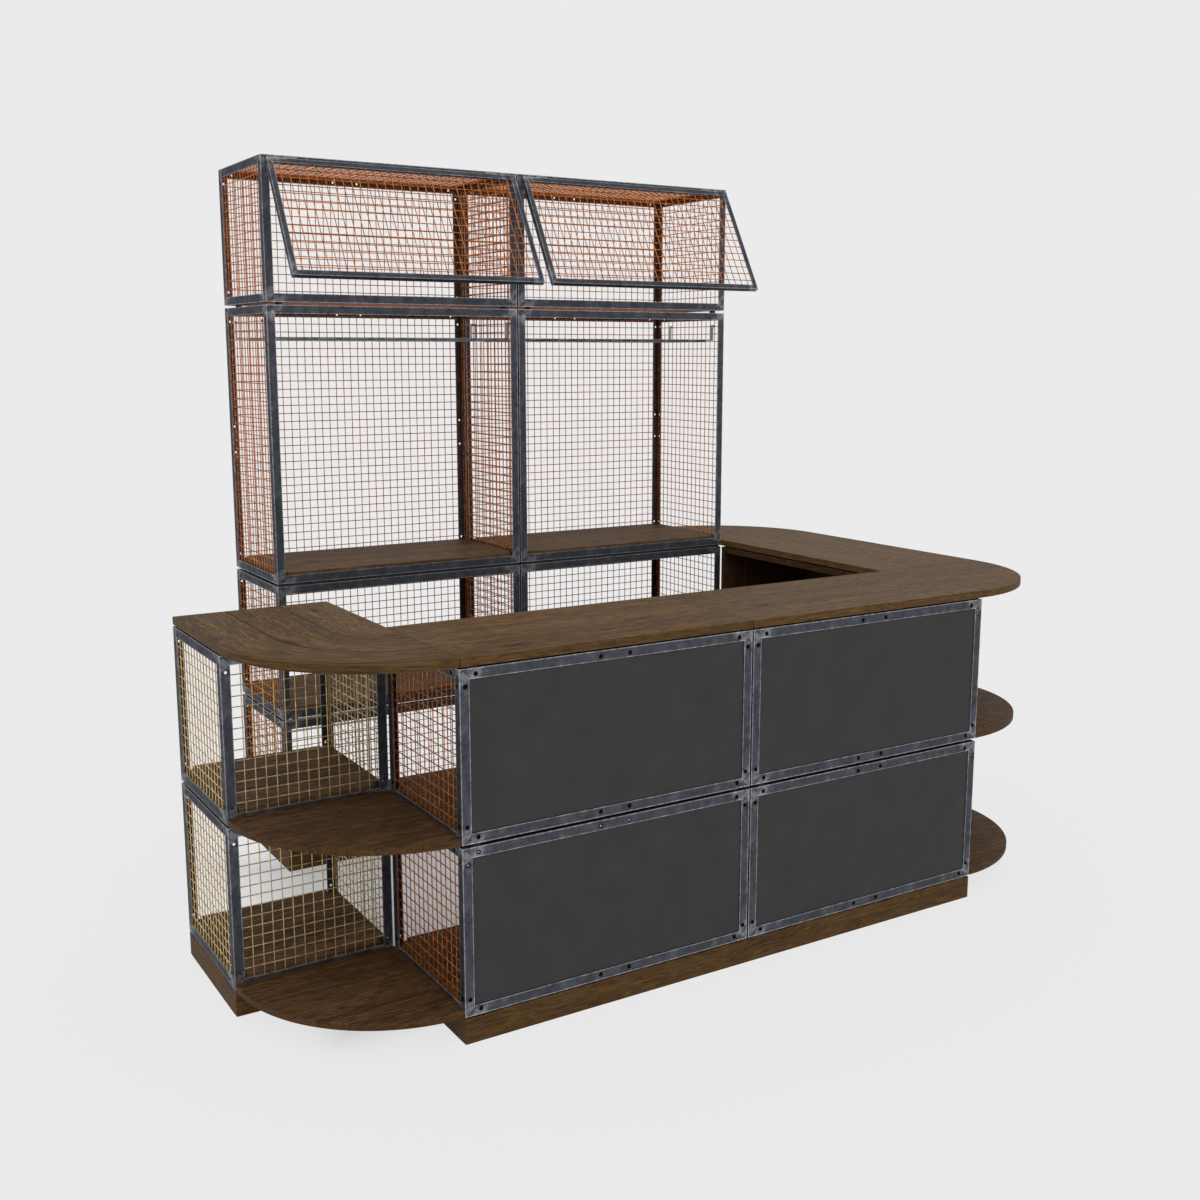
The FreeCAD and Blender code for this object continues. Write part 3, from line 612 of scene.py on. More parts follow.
# %% Fill the modules and the doors
PANEL_INSET = 10 * MM
BACK_INSET = 29 * MM
DOOR_PLAY = 1 * MM

module_nets = {"front_net_" + side: [(side, "front_frame_%s_%s" % (level_name, side))
                                     for level_name in ("lower", "upper")]
               for side in ("left", "right")}
for level_name in ("lower", "upper"):
    module_nets["left_net_" + level_name] = [
        (face, "left_frame_" + level_name) for face in ("left", "front", "right")]
for row in "abcd":
    faces = ("left", "right", "back") + (("bottom", "top") if row == "d" else ())
    module_nets["back_net_" + row] = [
        (face, "back_frame_%s_%s" % (row, side)) for side in ("left", "right")
        for face in faces]

for node_name, places in module_nets.items():
    placed = []
    finish = wire_finish[slots[node_name]]
    for face, module in places:
        low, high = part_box(module)
        # a back panel lies between the posts, and the others lie behind them
        side_inset = BACK_INSET if face == "back" else PANEL_INSET
        size = panel_size(face, low, high, PANEL_INSET, side_inset)
        placed.append((panel_mesh(size, finish), face_matrix(face, low, high, WALL)))
    piece = joined(node_name + "_wires", placed, finish)
    stand_for(piece, node_name)
    print(piece.name, len(places), "panels", len(piece.data.polygons), "faces")

for side, door in doors.items():
    node_name = side + "_flap_net"
    size = panel_size("front", door["low"], door["high"], WALL + DOOR_PLAY,
                      WALL + DOOR_PLAY)
    matrix = door["matrix"] @ face_matrix("front", door["low"], door["high"], WALL)
    finish = wire_finish[slots[node_name]]
    piece = joined(node_name + "_wires", [(panel_mesh(size, finish), matrix)], finish)
    stand_for(piece, node_name)
    print(piece.name, "size", [round(value / MM) for value in size])

# %% [markdown]
# Oiled oak.
# Worktops, shelves, floors and plinths are glued up from oak staves with a dark oil. The eye
# gets a warm brown with long streaks, short dark flecks, a few knots, and a slight change of
# tone from one stave to the next. All of it has to run along each board and even round the
# bent corner, so every wooden piece carries two sets of numbers for its finish: "grain"
# counts metres along, across and through the board, and "staves" tells which stave a point
# is in, how dark the joints are, and a number that is the board's own. The front worktops
# have a third, "start", that marks the dark line where they butt against the piece before.

# %% Follow the grain
LOG_STEP = (0.77, 0.31, 0.13)
DRIFT_PER_METRE = (1.7, 6.0, 6.0)
DRIFT_REACH = 0.075
# each pattern's length and width in mm, and its noise's detail and roughness; real pores
# are 0.3 mm wide, and are drawn at 1.2 mm so that they show
PATTERNS = {"broad": (700, 30, 3.0, 0.5), "streak": (130, 8, 4.0, 0.6),
            "fibre": (50, 3.5, 3.0, 0.6), "fleck": (45, 5, 2.0, 0.5),
            "pore": (22, 1.2, 1.0, 0.5)}


def follow_grain(node):
    """The stave's number, place and values, the bent grain, and its noise patterns."""
    grain = node("Attribute", attribute_name="grain").outputs["Vector"]
    staves = node("Attribute", attribute_name="staves").outputs["Vector"]
    stave = node("SeparateXYZ", (staves,)).outputs
    number = node("Math", (stave["X"],), "FLOOR")
    # each stave starts at another place in the log
    own_start = node("VectorMath", (number, LOG_STEP), "MULTIPLY")
    moved = node("VectorMath", (grain, own_start), "ADD")
    slow = node("Mapping", {"Vector": moved, "Scale": DRIFT_PER_METRE})
    drift = node("TexNoise", {"Vector": slow, "Scale": 1.0, "Detail": 2.0})
    x, y, z = node("SeparateXYZ", (moved,)).outputs
    wander = node("Math", (drift, DRIFT_REACH, y), "MULTIPLY_ADD")
    bent = node("CombineXYZ", (x, wander, z))
    noises = {}
    for label, (length, width, detail, rough) in PATTERNS.items():
        across = 1 / (width * MM)
        spread = node("Mapping", {"Vector": bent,
                                  "Scale": (1 / (length * MM), across, across)})
        noises[label] = node("TexNoise", {"Vector": spread, "Scale": 1.0, "Detail": detail,
                                          "Roughness": rough})
    return number, stave, wander, bent, noises


print("patterns", list(PATTERNS))

# %% Set the tone and the marks
RING_GAP = 19 * MM
RING_BEND = 9.0
# the weights and the base keep the tone between 0 and 1, mostly near 0.5
BROAD_WEIGHT = 0.4
TONE_BASE = -0.83
STREAK_SHARE = 1.0
FIBRE_SHARE = 1.2
STAVE_SHARE = 0.12
RING_SHARE = 0.02
UPRIGHT_RANGE = (0.9, 0.3)
EDGE_CALM = 0.45
FLECK_RANGE = (0.54, 0.66, 0.0, 0.72)
PORE_RANGE = (0.60, 0.70, 0.0, 0.5)
KNOTS_PER_METRE = (1 / 0.62, 1 / 0.21, 1 / 0.21)
KNOT_RANGE = (0.11, 0.02, 0.0, 0.75)
KNOT_CHOICE = 0.62
SEAM_WIDTH_SHARE = 0.03
BUTT_RANGE = (0.3, 0.6, 0.0, 0.7)


def wood_tone(node, number, stave, wander, noises):
    """How light the wood is, from its streaks, rings and the stave's own tone."""
    turns = node("Math", (wander, 2 * math.pi / RING_GAP), "MULTIPLY")
    ring_phase = node("Math", (noises["broad"], RING_BEND, turns), "MULTIPLY_ADD")
    ring = node("Math", (ring_phase,), "SINE")
    own_place = node("CombineXYZ", (number, stave["Z"]))
    own_tone = node("TexWhiteNoise", {"Vector": own_place})
    tone = TONE_BASE
    for part, weight in ((noises["broad"], BROAD_WEIGHT), (noises["streak"], STREAK_SHARE),
                         (noises["fibre"], FIBRE_SHARE), (own_tone, STAVE_SHARE),
                         (ring, RING_SHARE)):
        tone = node("Math", (part, weight, tone), "MULTIPLY_ADD")
    return tone


def knot_mask(node, bent):
    """A few dark knots, each in a cell of its own."""
    sparse = node("Mapping", {"Vector": bent, "Scale": KNOTS_PER_METRE})
    cells = node("TexVoronoi", {"Vector": sparse, "Scale": 1.0}, voronoi_dimensions="2D")
    pick = node("SeparateColor", (cells.outputs["Color"],))
    chosen = node("Math", (pick, KNOT_CHOICE), "GREATER_THAN")
    spot = node("MapRange", (cells, *KNOT_RANGE), **SMOOTH)
    return node("Math", (spot, chosen), "MULTIPLY")


def joint_mask(node, stave):
    """The dark lines between the staves."""
    from_joint = node("Math", (stave["X"], 0.5), "PINGPONG")
    line = node("MapRange", (from_joint, SEAM_WIDTH_SHARE, SEAM_WIDTH_SHARE / 2))
    return node("Math", (line, stave["Y"]), "MULTIPLY")


print("a ring each", RING_GAP, "m")

# %% The wood's finish
OIL_SHINE = 0.08
SHINE_SPREAD = (-0.07, 0.08)
PORE_RELIEF = -1.2
JOINT_RELIEF = -2.0


def oiled_oak(name, shades, dark_mark_and_shade, roughness, upright_shade_share):
    """Oak that follows the pieces' grain and staves.

    The last number tells how much painted shade darkens the upright faces.
    """
    material, node, shader = new_material(name)
    number, stave, wander, bent, noises = follow_grain(node)
    tone = wood_tone(node, number, stave, wander, noises)
    # upright edges were sanded and oiled until the figure hardly shows
    slope = node("SeparateXYZ", (node("TexCoord").outputs["Normal"],))
    level = node("Math", (slope.outputs["Z"],), "ABSOLUTE")
    upright = node("MapRange", (level, *UPRIGHT_RANGE))
    calm = node("Math", (upright, -EDGE_CALM, 1.0), "MULTIPLY_ADD")
    off_middle = node("Math", (tone, 0.5), "SUBTRACT")
    calm_tone = node("Math", (off_middle, calm, 0.5), "MULTIPLY_ADD")
    dark_flecks = node("MapRange", (noises["fleck"], *FLECK_RANGE))
    flecks = node("Math", (dark_flecks, calm), "MULTIPLY")
    dark_pores = node("MapRange", (noises["pore"], *PORE_RANGE))
    pores = node("Math", (dark_pores, calm), "MULTIPLY")
    joints = joint_mask(node, stave)
    start = node("Attribute", attribute_name="start").outputs["Fac"]
    butted = node("MapRange", (start, *BUTT_RANGE))
    # painted shade: upright faces are darkened because of the way that they face, and take the
    # same dark colour as the knots
    edges = node("Math", (upright, upright_shade_share), "MULTIPLY")
    result = ramp(node, calm_tone, shades)
    for mask in (flecks, pores, knot_mask(node, bent), joints, butted, edges):
        darker = node("Mix", {MIX_FACTOR: mask, MIX_A: result, MIX_B: linear(dark_mark_and_shade)},
                      data_type="RGBA")
        result = darker.outputs[MIX_RESULT]
    hollows = node("Math", (pores, PORE_RELIEF, noises["fibre"]), "MULTIPLY_ADD")
    height = node("Math", (joints, JOINT_RELIEF, hollows), "MULTIPLY_ADD")
    shine = [roughness + change for change in SHINE_SPREAD]
    fill(shader, {
        "Base Color": result, "Specular IOR Level": OIL_SHINE,
        "Roughness": node("MapRange", (noises["streak"], 0.3, 0.7, *shine)),
        "Normal": node("Bump", {"Height": height, "Strength": 0.25, "Distance": 0.3 * MM})})
    return material


TOP_SHADES = [(0.2, "#2B1D10"), (0.45, "#513A21"), (0.6, "#644929"), (0.9, "#86663F")]
SHELF_SHADES = [(0.2, "#26190E"), (0.45, "#49321C"), (0.6, "#593F25"), (0.9, "#795939")]
FLOOR_SHADES = [(0.2, "#2A1D12"), (0.45, "#523C27"), (0.6, "#644B31"), (0.9, "#836748")]
# the cabinet's oak is a darker copy: the shade seen inside the open cabinet is painted into its
# colour
SHADED_CABINET_SHADES = [(0.2, "#1C120A"), (0.45, "#3A2615"), (0.6, "#4A321C"), (0.9, "#5E4429")]
wood_finish = {
    "top_wood": oiled_oak("oiled_oak_worktop", TOP_SHADES, "#1F160D", 0.55, 0.08),
    "shelf_wood": oiled_oak("oiled_oak_shelf", SHELF_SHADES, "#1A120A", 0.58, 0.12),
    "floor_wood": oiled_oak("oiled_oak_floor", FLOOR_SHADES, "#1C140C", 0.6, 0.12),
    "plinth_wood": oiled_oak("oiled_oak_plinth", TOP_SHADES, "#1E150D", 0.6, 0.16),
    "cabinet_wood": oiled_oak("shaded_oak_cabinet", SHADED_CABINET_SHADES, "#120C07", 0.58, 0.0),
}
print("wood finishes", list(wood_finish))

# %% [markdown]
# Straight boards.
# A sawn board is a plain block, but its edges are eased with sandpaper, and those narrow
# round edges are what catches the light. The CAD piece has the right place and outline, so a
# copy of it is merged, parted again where boards only touch, and a bevel eases its edges.
# Then each board gets grain coordinates that start at its own place in the log, because no
# two boards are cut alike.

# %% Copy the boards and ease their edges
EASED = 1.5 * MM
MERGE = 0.01 * MM
BUTT_REACH = 8 * MM
FLAT_ANGLE = math.radians(0.5)
EDGE_ANGLE = math.radians(30)


def separate_solids(node_name):
    """A CAD node's solids, each with vertices of its own, also where two boards touch.

    The faces come solid by solid, so a solid is complete once no edge is left open.
    """
    source = frame["nodes"][node_name].data
    form = bmesh.new()
    corners = {}
    open_edges = set()
    for polygon in source.polygons:
        points = [source.vertices[k].co for k in polygon.vertices]
        places = [tuple(round(value / MERGE) for value in point) for point in points]
        if len(set(places)) < len(places):
            continue
        for place, point in zip(places, points):
            if place not in corners:
                corners[place] = form.verts.new(point)
        form.faces.new([corners[place] for place in places])
        for edge in zip(places, places[1:] + places[:1]):
            if edge[::-1] in open_edges:
                open_edges.remove(edge[::-1])
            else:
                open_edges.add(edge)
        if not open_edges:
            corners = {}
    return form


def eased_copy(node_name, butted):
    """A copy of a CAD node with eased edges, as a plain mesh.

    A butted board gets a cut close to its low end, where its dark line stops.
    """
    form = separate_solids(node_name)
    bmesh.ops.dissolve_limit(form, angle_limit=FLAT_ANGLE, verts=form.verts,
                             edges=form.edges)
    if butted:
        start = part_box(node_name)[0]
        start.x += BUTT_REACH
        bmesh.ops.bisect_plane(form, geom=form.verts[:] + form.edges[:] + form.faces[:],
                               plane_co=start, plane_no=(1, 0, 0))
    mesh = bpy.data.meshes.new(node_name)
    form.to_mesh(mesh)
    form.free()
    mesh.polygons.foreach_set("use_smooth", [True] * len(mesh.polygons))
    thing = link(node_name + "_rough", mesh)
    bevel = thing.modifiers.new("eased", "BEVEL")
    bevel.width = EASED
    bevel.segments = 2
    bevel.limit_method = "ANGLE"
    bevel.angle_limit = EDGE_ANGLE
    bevel.harden_normals = True
    return evaluated_mesh(thing)


print("edges eased by", EASED, "m")

# %% Make the straight boards
STAVE_WIDTH = 168 * MM
EDGE_STAVE_SHARE = 0.04
JOINT_DEPTH = 0.3
GRAIN_ORDER = {"x": (0, 1, 2), "y": (1, 0, 2), "z": (2, 1, 0)}
# places in the log, in metres, from which the boards are cut in turn
CUTS = [(number * 2.37, number * 0.731, number * 0.53) for number in range(40)]


def board_numbers(mesh):
    """For each vertex, the number of the board that it belongs to."""
    parent = list(range(len(mesh.vertices)))

    def root(vertex):
        while parent[vertex] != vertex:
            parent[vertex] = parent[parent[vertex]]
            vertex = parent[vertex]
        return vertex

    for a, b in mesh.edge_keys:
        parent[root(a)] = root(b)
    roots = [root(vertex) for vertex in range(len(parent))]
    order = {value: number for number, value in enumerate(sorted(set(roots)))}
    return [order[value] for value in roots]


def stave_place(share, width):
    """How many staves in from the edge a point lies; the edges fall inside a stave."""
    count = max(1, round(width / STAVE_WIDTH))
    return EDGE_STAVE_SHARE + (count - 2 * EDGE_STAVE_SHARE) * share


def boards(node_name, axis):
    """Wooden boards in the place of a CAD node, with the grain along an axis.

    With no axis the grain runs along each board's longest side.
    """
    butted = node_name.startswith("front_top")
    mesh = eased_copy(node_name, butted)
    mesh.name = node_name + "_boards"
    numbers = board_numbers(mesh)
    corners = {}
    for vertex, number in zip(mesh.vertices, numbers):
        low, high = corners.setdefault(number, (vertex.co.copy(), vertex.co.copy()))
        for k in range(3):
            low[k] = min(low[k], vertex.co[k])
            high[k] = max(high[k], vertex.co[k])
    grain = mesh.attributes.new("grain", "FLOAT_VECTOR", "POINT")
    staves = mesh.attributes.new("staves", "FLOAT_VECTOR", "POINT")
    for vertex, number in zip(mesh.vertices, numbers):
        low, high = corners[number]
        spans = high - low
        order = GRAIN_ORDER[axis or "xyz"[max(range(3), key=lambda k: spans[k])]]
        shift = CUTS[(number + len(node_name)) % len(CUTS)]
        grain.data[vertex.index].vector = [vertex.co[k] - low[k] + shift[place]
                                           for place, k in enumerate(order)]
        k = order[1]
        share = (vertex.co[k] - low[k]) / spans[k]
        staves.data[vertex.index].vector = (stave_place(share, spans[k]), JOINT_DEPTH,
                                            shift[1])
    if butted:
        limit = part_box(node_name)[0].x + BUTT_REACH / 2
        start = mesh.attributes.new("start", "FLOAT", "POINT")
        for vertex in mesh.vertices:
            start.data[vertex.index].value = float(vertex.co.x < limit)
    mesh.materials.clear()
    mesh.materials.append(wood_finish[slots[node_name]])
    piece = link(node_name + "_boards", mesh)
    stand_for(piece, node_name)
    print(piece.name, len(corners), "boards", len(mesh.polygons), "faces")


WOOD = [
    ("x", ("front_floors", "left_floors", "back_floors", "left_corner_shelves",
           "right_corner_shelves", "back_corner_shelves", "front_top_left",
           "front_top_right", "right_corner_top")),
    ("y", ("right_top", "back_corner_top")),
    (None, ("front_plinths", "left_plinth", "back_plinths", "cabinet_plinth")),
    ("z", ("cabinet_ends", "cabinet_outer")),
    ("y", ("cabinet_bottom", "cabinet_shelf", "cabinet_cover")),
]
for axis, node_names in WOOD:
    for node_name in node_names:
        boards(node_name, axis)

# %% [markdown]
# The bent worktop.
# On the left the worktop runs round the corner in staves that were cut to a curve, with two
# dark joints that follow it, so a straight grain would look wrong here. The piece is made
# like a railway: stations along a line say where the inner edge is and which way is outward,
# and the same cross-section is set at each one. Along the line the grain coordinate counts
# the length, and across it counts the distance from the inner edge.

# %% The line and the cross-section
CORNER_STEPS = 45
ACROSS_STEPS = 6
EASE_ANGLES = (0, 30, 60, 90)


def quarter_turn(centre, first, last, start, middle_radius):
    """Stations of a turn about its centre, from one outward angle to another."""
    made = []
    for number in range(CORNER_STEPS + 1):
        share = number / CORNER_STEPS
        angle = math.radians(first + (last - first) * share)
        outward = Vector((math.cos(angle), math.sin(angle)))
        made.append((Vector(centre), outward, start + share * middle_radius * math.pi / 2))
    return made


def section(width, low, high):
    """A board's cross-section as (across, height), with eased edges."""
    ease = EASED
    quarter = [(1 - math.cos(math.radians(a)), 1 - math.sin(math.radians(a)))
               for a in EASE_ANGLES]
    outline = [(ease * c, high - ease * s) for c, s in quarter]
    outline += [(width * k / ACROSS_STEPS, high) for k in range(1, ACROSS_STEPS)]
    outline += [(width - ease * c, high - ease * s) for c, s in reversed(quarter)]
    outline += [(width - ease * c, low + ease * s) for c, s in quarter]
    outline += [(width * k / ACROSS_STEPS, low) for k in range(ACROSS_STEPS - 1, 0, -1)]
    outline += [(ease * c, low + ease * s) for c, s in reversed(quarter)]
    return outline


left_low, left_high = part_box("left_top")
round_radius = left_high.x - left_low.x
turn_y = left_low.y + round_radius
straight = left_high.y - turn_y
stations = [(Vector((left_high.x, left_high.y)), Vector((-1, 0)), 0.0)]
stations += quarter_turn((left_high.x, turn_y), 180, 270, straight, round_radius / 2)
outline = section(round_radius, left_low.z, left_high.z)
print(len(stations), "stations of", len(outline), "points")

# %% Sweep the bent worktop
BENT_SHIFT = 0.4
BENT_JOINT_DEPTH = 0.85
BENT_SHARP = math.radians(40)

form = bmesh.new()
grain = form.verts.layers.float_vector.new("grain")
staves = form.verts.layers.float_vector.new("staves")
rings = []
for inner, outward, along in stations:
    ring = []
    for across, height in outline:
        place = inner + outward * across
        vertex = form.verts.new((place.x, place.y, height))
        vertex[grain] = (along + BENT_SHIFT, across, height - left_low.z)
        vertex[staves] = (stave_place(across / round_radius, round_radius),
                          BENT_JOINT_DEPTH, BENT_SHIFT)
        ring.append(vertex)
    rings.append(ring)
for one, two in zip(rings, rings[1:]):
    for k in range(len(outline)):
        after = (k + 1) % len(outline)
        form.faces.new((one[k], one[after], two[after], two[k]))
form.faces.new(rings[0])
form.faces.new(list(reversed(rings[-1])))
bmesh.ops.remove_doubles(form, verts=form.verts, dist=MERGE)
bmesh.ops.dissolve_degenerate(form, edges=form.edges, dist=MERGE)
bmesh.ops.recalc_face_normals(form, faces=form.faces)
mesh = bpy.data.meshes.new("left_worktop")
form.to_mesh(mesh)
form.free()
mesh.polygons.foreach_set("use_smooth", [True] * len(mesh.polygons))
mesh.set_sharp_from_angle(angle=BENT_SHARP)
mesh.materials.append(wood_finish["top_wood"])
stand_for(link("left_worktop", mesh), "left_top")
print("bent worktop", len(mesh.polygons), "faces")

# %% [markdown]
# Charcoal boards.
# The front panels are fibreboard with a matt charcoal lacquer, rolled on. It gives the eye
# an even dark grey with the faintest mottling and a soft, wide sheen. Two sizes of noise are
# enough, one as wide as a hand and one as fine as the roller's nap.

# %% The front panels' finish
HAND_PER_METRE = 9
NAP_PER_METRE = 700
NAP_WEIGHT = 0.25
EDGE_SHADE_WIDTH = 22 * MM
CHARCOAL = [(0.35, "#313131"), (0.62, "#353535"), (0.9, "#3A3A3A")]
EDGE_SHADE = "#030303"
MATT_SHINE = (0.0, 1.0, 0.58, 0.7)


def lacquered_board(name, first_low, size, pitch):
    """Fibreboard under a matt charcoal lacquer, with painted shade along its edge.

    The boards are alike, so a point's place on its own board is what is left over
    after whole steps of the pitch from the first board.
    """
    material, node, shader = new_material(name)
    where = node("TexCoord").outputs["Object"]
    past_first = node("VectorMath", (where, first_low), "SUBTRACT")
    from_low = node("VectorMath", (past_first, pitch), "MODULO")
    from_high = node("VectorMath", (size, from_low), "SUBTRACT")
    inset = node("VectorMath", (from_low, from_high), "MINIMUM")
    sides = node("SeparateXYZ", (inset,)).outputs
    from_edge = node("Math", (sides["X"], sides["Z"]), "MINIMUM")
    # painted shade: the strip hidden behind the flanges is near black, so the bolt holes look
    # dark and a thin dark line shows inside each lip
    edge_shade_mask = node("MapRange", (from_edge, EDGE_SHADE_WIDTH, EDGE_SHADE_WIDTH - 1 * MM))
    hand = node("TexNoise", {"Vector": where, "Scale": HAND_PER_METRE, "Detail": 4.0})
    nap = node("TexNoise", {"Vector": where, "Scale": NAP_PER_METRE, "Detail": 2.0})
    mixed = node("Math", (nap, NAP_WEIGHT, hand), "MULTIPLY_ADD")
    with_edge_shade = node("Mix", {MIX_FACTOR: edge_shade_mask, MIX_A: ramp(node, mixed, CHARCOAL),
                         MIX_B: linear(EDGE_SHADE)}, data_type="RGBA")
    fill(shader, {
        "Base Color": with_edge_shade.outputs[MIX_RESULT], "Specular IOR Level": 0.2,
        "Roughness": node("MapRange", (hand, *MATT_SHINE)),
        "Normal": node("Bump", {"Height": nap, "Strength": 0.12, "Distance": 0.15 * MM})})
    return material


first_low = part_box("front_frame_lower_left")[0]
step_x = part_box("front_frame_lower_right")[0].x - first_low.x
step_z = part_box("front_frame_upper_left")[0].z - first_low.z
board_low, board_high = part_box("front_panels_lower")
board_size = (board_high.x - step_x - board_low.x, 1.0, board_high.z - board_low.z)
charcoal = lacquered_board("charcoal_lacquered_board", tuple(board_low), board_size,
                           (step_x, 1.0, step_z))
for level_name in ("lower", "upper"):
    dress("front_panels_" + level_name, charcoal)
print("front panels dressed")

# %% [markdown]
# Plain steel and rubber.
# Racks, hooks and hinges are bright drawn steel that has dulled: a mid grey with fine
# scratches. The pads between the modules are black rubber, matt and a little dusty. Both are
# small, so one function with a few colours serves them all.

# %% The small parts' finishes
SCRATCHES_PER_METRE = 900
DUST_PER_METRE = 150
SCRATCH_WEIGHT = 0.5
SMALL_STOPS = (0.5, 0.75, 1.0)


def small_part(name, shades, metallic, shine, stretch):
    """Dulled steel or rubber; stretch draws the scratches out along an axis."""
    material, node, shader = new_material(name)
    where = node("TexCoord").outputs["Object"]
    drawn = node("Mapping", {"Vector": where, "Scale": stretch})
    scratch = node("TexNoise", {"Vector": drawn, "Scale": SCRATCHES_PER_METRE,
                                "Detail": 2.0})
    dust = node("TexNoise", {"Vector": where, "Scale": DUST_PER_METRE, "Detail": 4.0})
    mixed = node("Math", (scratch, SCRATCH_WEIGHT, dust), "MULTIPLY_ADD")
    fill(shader, {
        "Base Color": ramp(node, mixed, list(zip(SMALL_STOPS, shades))),
        "Metallic": metallic, "Roughness": node("MapRange", (mixed, 0.5, 1.0, *shine)),
        "Normal": node("Bump", {"Height": mixed, "Strength": 0.15, "Distance": 0.15 * MM})})
    return material


rack_steel = small_part("dulled_rack_steel", ("#5A5C5E", "#77797B", "#989A9B"), 0.85,
                        (0.3, 0.45), (1.0, 0.05, 1.0))
strap_steel = small_part("pale_zinc_strap", ("#8F9191", "#AFB1B0", "#C9CAC8"), 0.8,
                         (0.32, 0.5), (1.0, 1.0, 0.1))
hinge_steel = small_part("dulled_hinge_steel", ("#6B6D70", "#8A8C8E", "#A6A8A9"), 0.85,
                         (0.3, 0.45), (0.1, 1.0, 1.0))
rubber = small_part("black_pad_rubber", ("#141414", "#1D1D1D", "#2A2A29"), 0.0,
                    (0.7, 0.85), (1.0, 1.0, 1.0))
for node_names, material in (
        (("left_rack", "right_rack"), rack_steel), (("rack_hooks",), strap_steel),
        (("hinge_leaves", "left_flap_leaves", "right_flap_leaves"), hinge_steel),
        (("pads", "stack_spacers"), rubber)):
    for node_name in node_names:
        dress(node_name, material)
print("small parts dressed")

# %% [markdown]
# Slotted screws.
# Each hinge leaf is held by two slotted pan-head screws. They are all alike and stand at an
# even pitch, so a Geometry Nodes tree cuts one head and sets it twice on each of a pair of
# leaves. The same pair then serves every door and every module: a matrix lays it on the
# door's top, or stands it against the upright leaf. A larger head of the same kind fills some
# of the front holes.

# %% The tree for one head
HEAD_SIDES = 12
CROWN_SHARE = 0.7
HEAD_LABELS = ("Radius", "Height", "Slot", "Finish")

head_tree, node, given = new_tree("slotted_head", *HEAD_LABELS)
crown = node("Math", (given["Radius"], CROWN_SHARE), "MULTIPLY")
head = node("GeometryNodeMeshCone",
            {"Vertices": HEAD_SIDES, "Radius Top": crown, "Radius Bottom": given["Radius"],
             "Depth": given["Height"]})
across_head = node("Math", (given["Radius"], 3.0), "MULTIPLY")
slot_size = node("CombineXYZ", (across_head, given["Slot"], given["Height"]))
cutter = node("GeometryNodeMeshCube", {"Size": slot_size})
cut_place = node("CombineXYZ", {"Z": given["Height"]})
set_high = node("GeometryNodeTransform", {"Geometry": cutter, "Translation": cut_place})
slotted = node("GeometryNodeMeshBoolean", {"Mesh 1": head, "Mesh 2": set_high},
               "DIFFERENCE")
painted = node("GeometryNodeSetMaterial",
               {"Geometry": slotted, "Material": given["Finish"]})
node("NodeGroupOutput", (painted,))
print("head tree has", len(head_tree.nodes), "nodes")

# %% The tree for a pair of leaves
screw_tree, node, given = new_tree("hinge_screws", "Gap", "Start", "Pitch", *HEAD_LABELS)
slotted = node("GeometryNodeGroup", {label: given[label] for label in HEAD_LABELS},
               node_tree=head_tree)
first_screw, screw_step, leaf_step = [node("CombineXYZ", {"X": given[label]})
                                      for label in ("Start", "Pitch", "Gap")]
screw_line = node("GeometryNodeMeshLine",
                  {"Count": 2, "Start Location": first_screw, "Offset": screw_step})
two_screws = node("GeometryNodeInstanceOnPoints",
                  {"Points": screw_line, "Instance": slotted})
leaf_line = node("GeometryNodeMeshLine", {"Count": 2, "Offset": leaf_step})
two_leaves = node("GeometryNodeInstanceOnPoints",
                  {"Points": leaf_line, "Instance": two_screws})
real = node("GeometryNodeRealizeInstances", {"Geometry": two_leaves})
painted = node("GeometryNodeSetMaterial", {"Geometry": real, "Material": given["Finish"]})
node("NodeGroupOutput", (painted,))
print("screw tree has", len(screw_tree.nodes), "nodes")

# %% Set the screws in the leaves
HEAD = {"Radius": 2.4 * MM, "Height": 1.1 * MM, "Slot": 0.7 * MM, "Finish": hinge_steel}
SCREW_START = 10 * MM
SCREW_PITCH = 30 * MM
LEAF_MIDDLE = 9.2 * MM
LEAF_FACE = 2 * MM
HINGE_START = 67 * MM
HINGE_LENGTH = 50 * MM
UPRIGHT = Matrix.Rotation(QUARTER, 4, "X")

fixed_screws = []
for side, door in doors.items():
    first_hinge = door["low"].x + HINGE_START
    gap = -2 * first_hinge - HINGE_LENGTH
    pair = tree_mesh(screw_tree, {"Gap": gap, "Start": SCREW_START, "Pitch": SCREW_PITCH,
                                  **HEAD})
    on_door = Matrix.Translation((first_hinge, -LEAF_MIDDLE, -LEAF_FACE))
    on_module = Matrix.Translation((first_hinge, LEAF_FACE, LEAF_MIDDLE)) @ UPRIGHT
    moving = joined(side + "_flap_screws", [(pair, door["matrix"] @ on_door)], hinge_steel)
    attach(moving, door["body"])
    fixed_screws.append((pair, Matrix.Translation(door["pivot"]) @ on_module))
    print(moving.name, len(moving.data.polygons), "faces, pair", round(gap / MM), "mm apart")
fixed = joined("fixed_leaf_screws", fixed_screws, hinge_steel)
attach(fixed, body_of_node["hinge_leaves"])

# %% Screws in some of the front holes
# places of the holes from a module's lowest front corner, as (module, x, z) in mm
FILLED_HOLES = [("lower_left", 50, 483), ("lower_left", 450, 483), ("lower_left", 550, 483),
                ("lower_left", 17, 450), ("lower_right", 983, 450),
                ("upper_right", 983, 450)]
BORE_HEAD = {"Radius": 4.3 * MM, "Height": 2.5 * MM, "Slot": 1.2 * MM,
             "Finish": strap_steel}

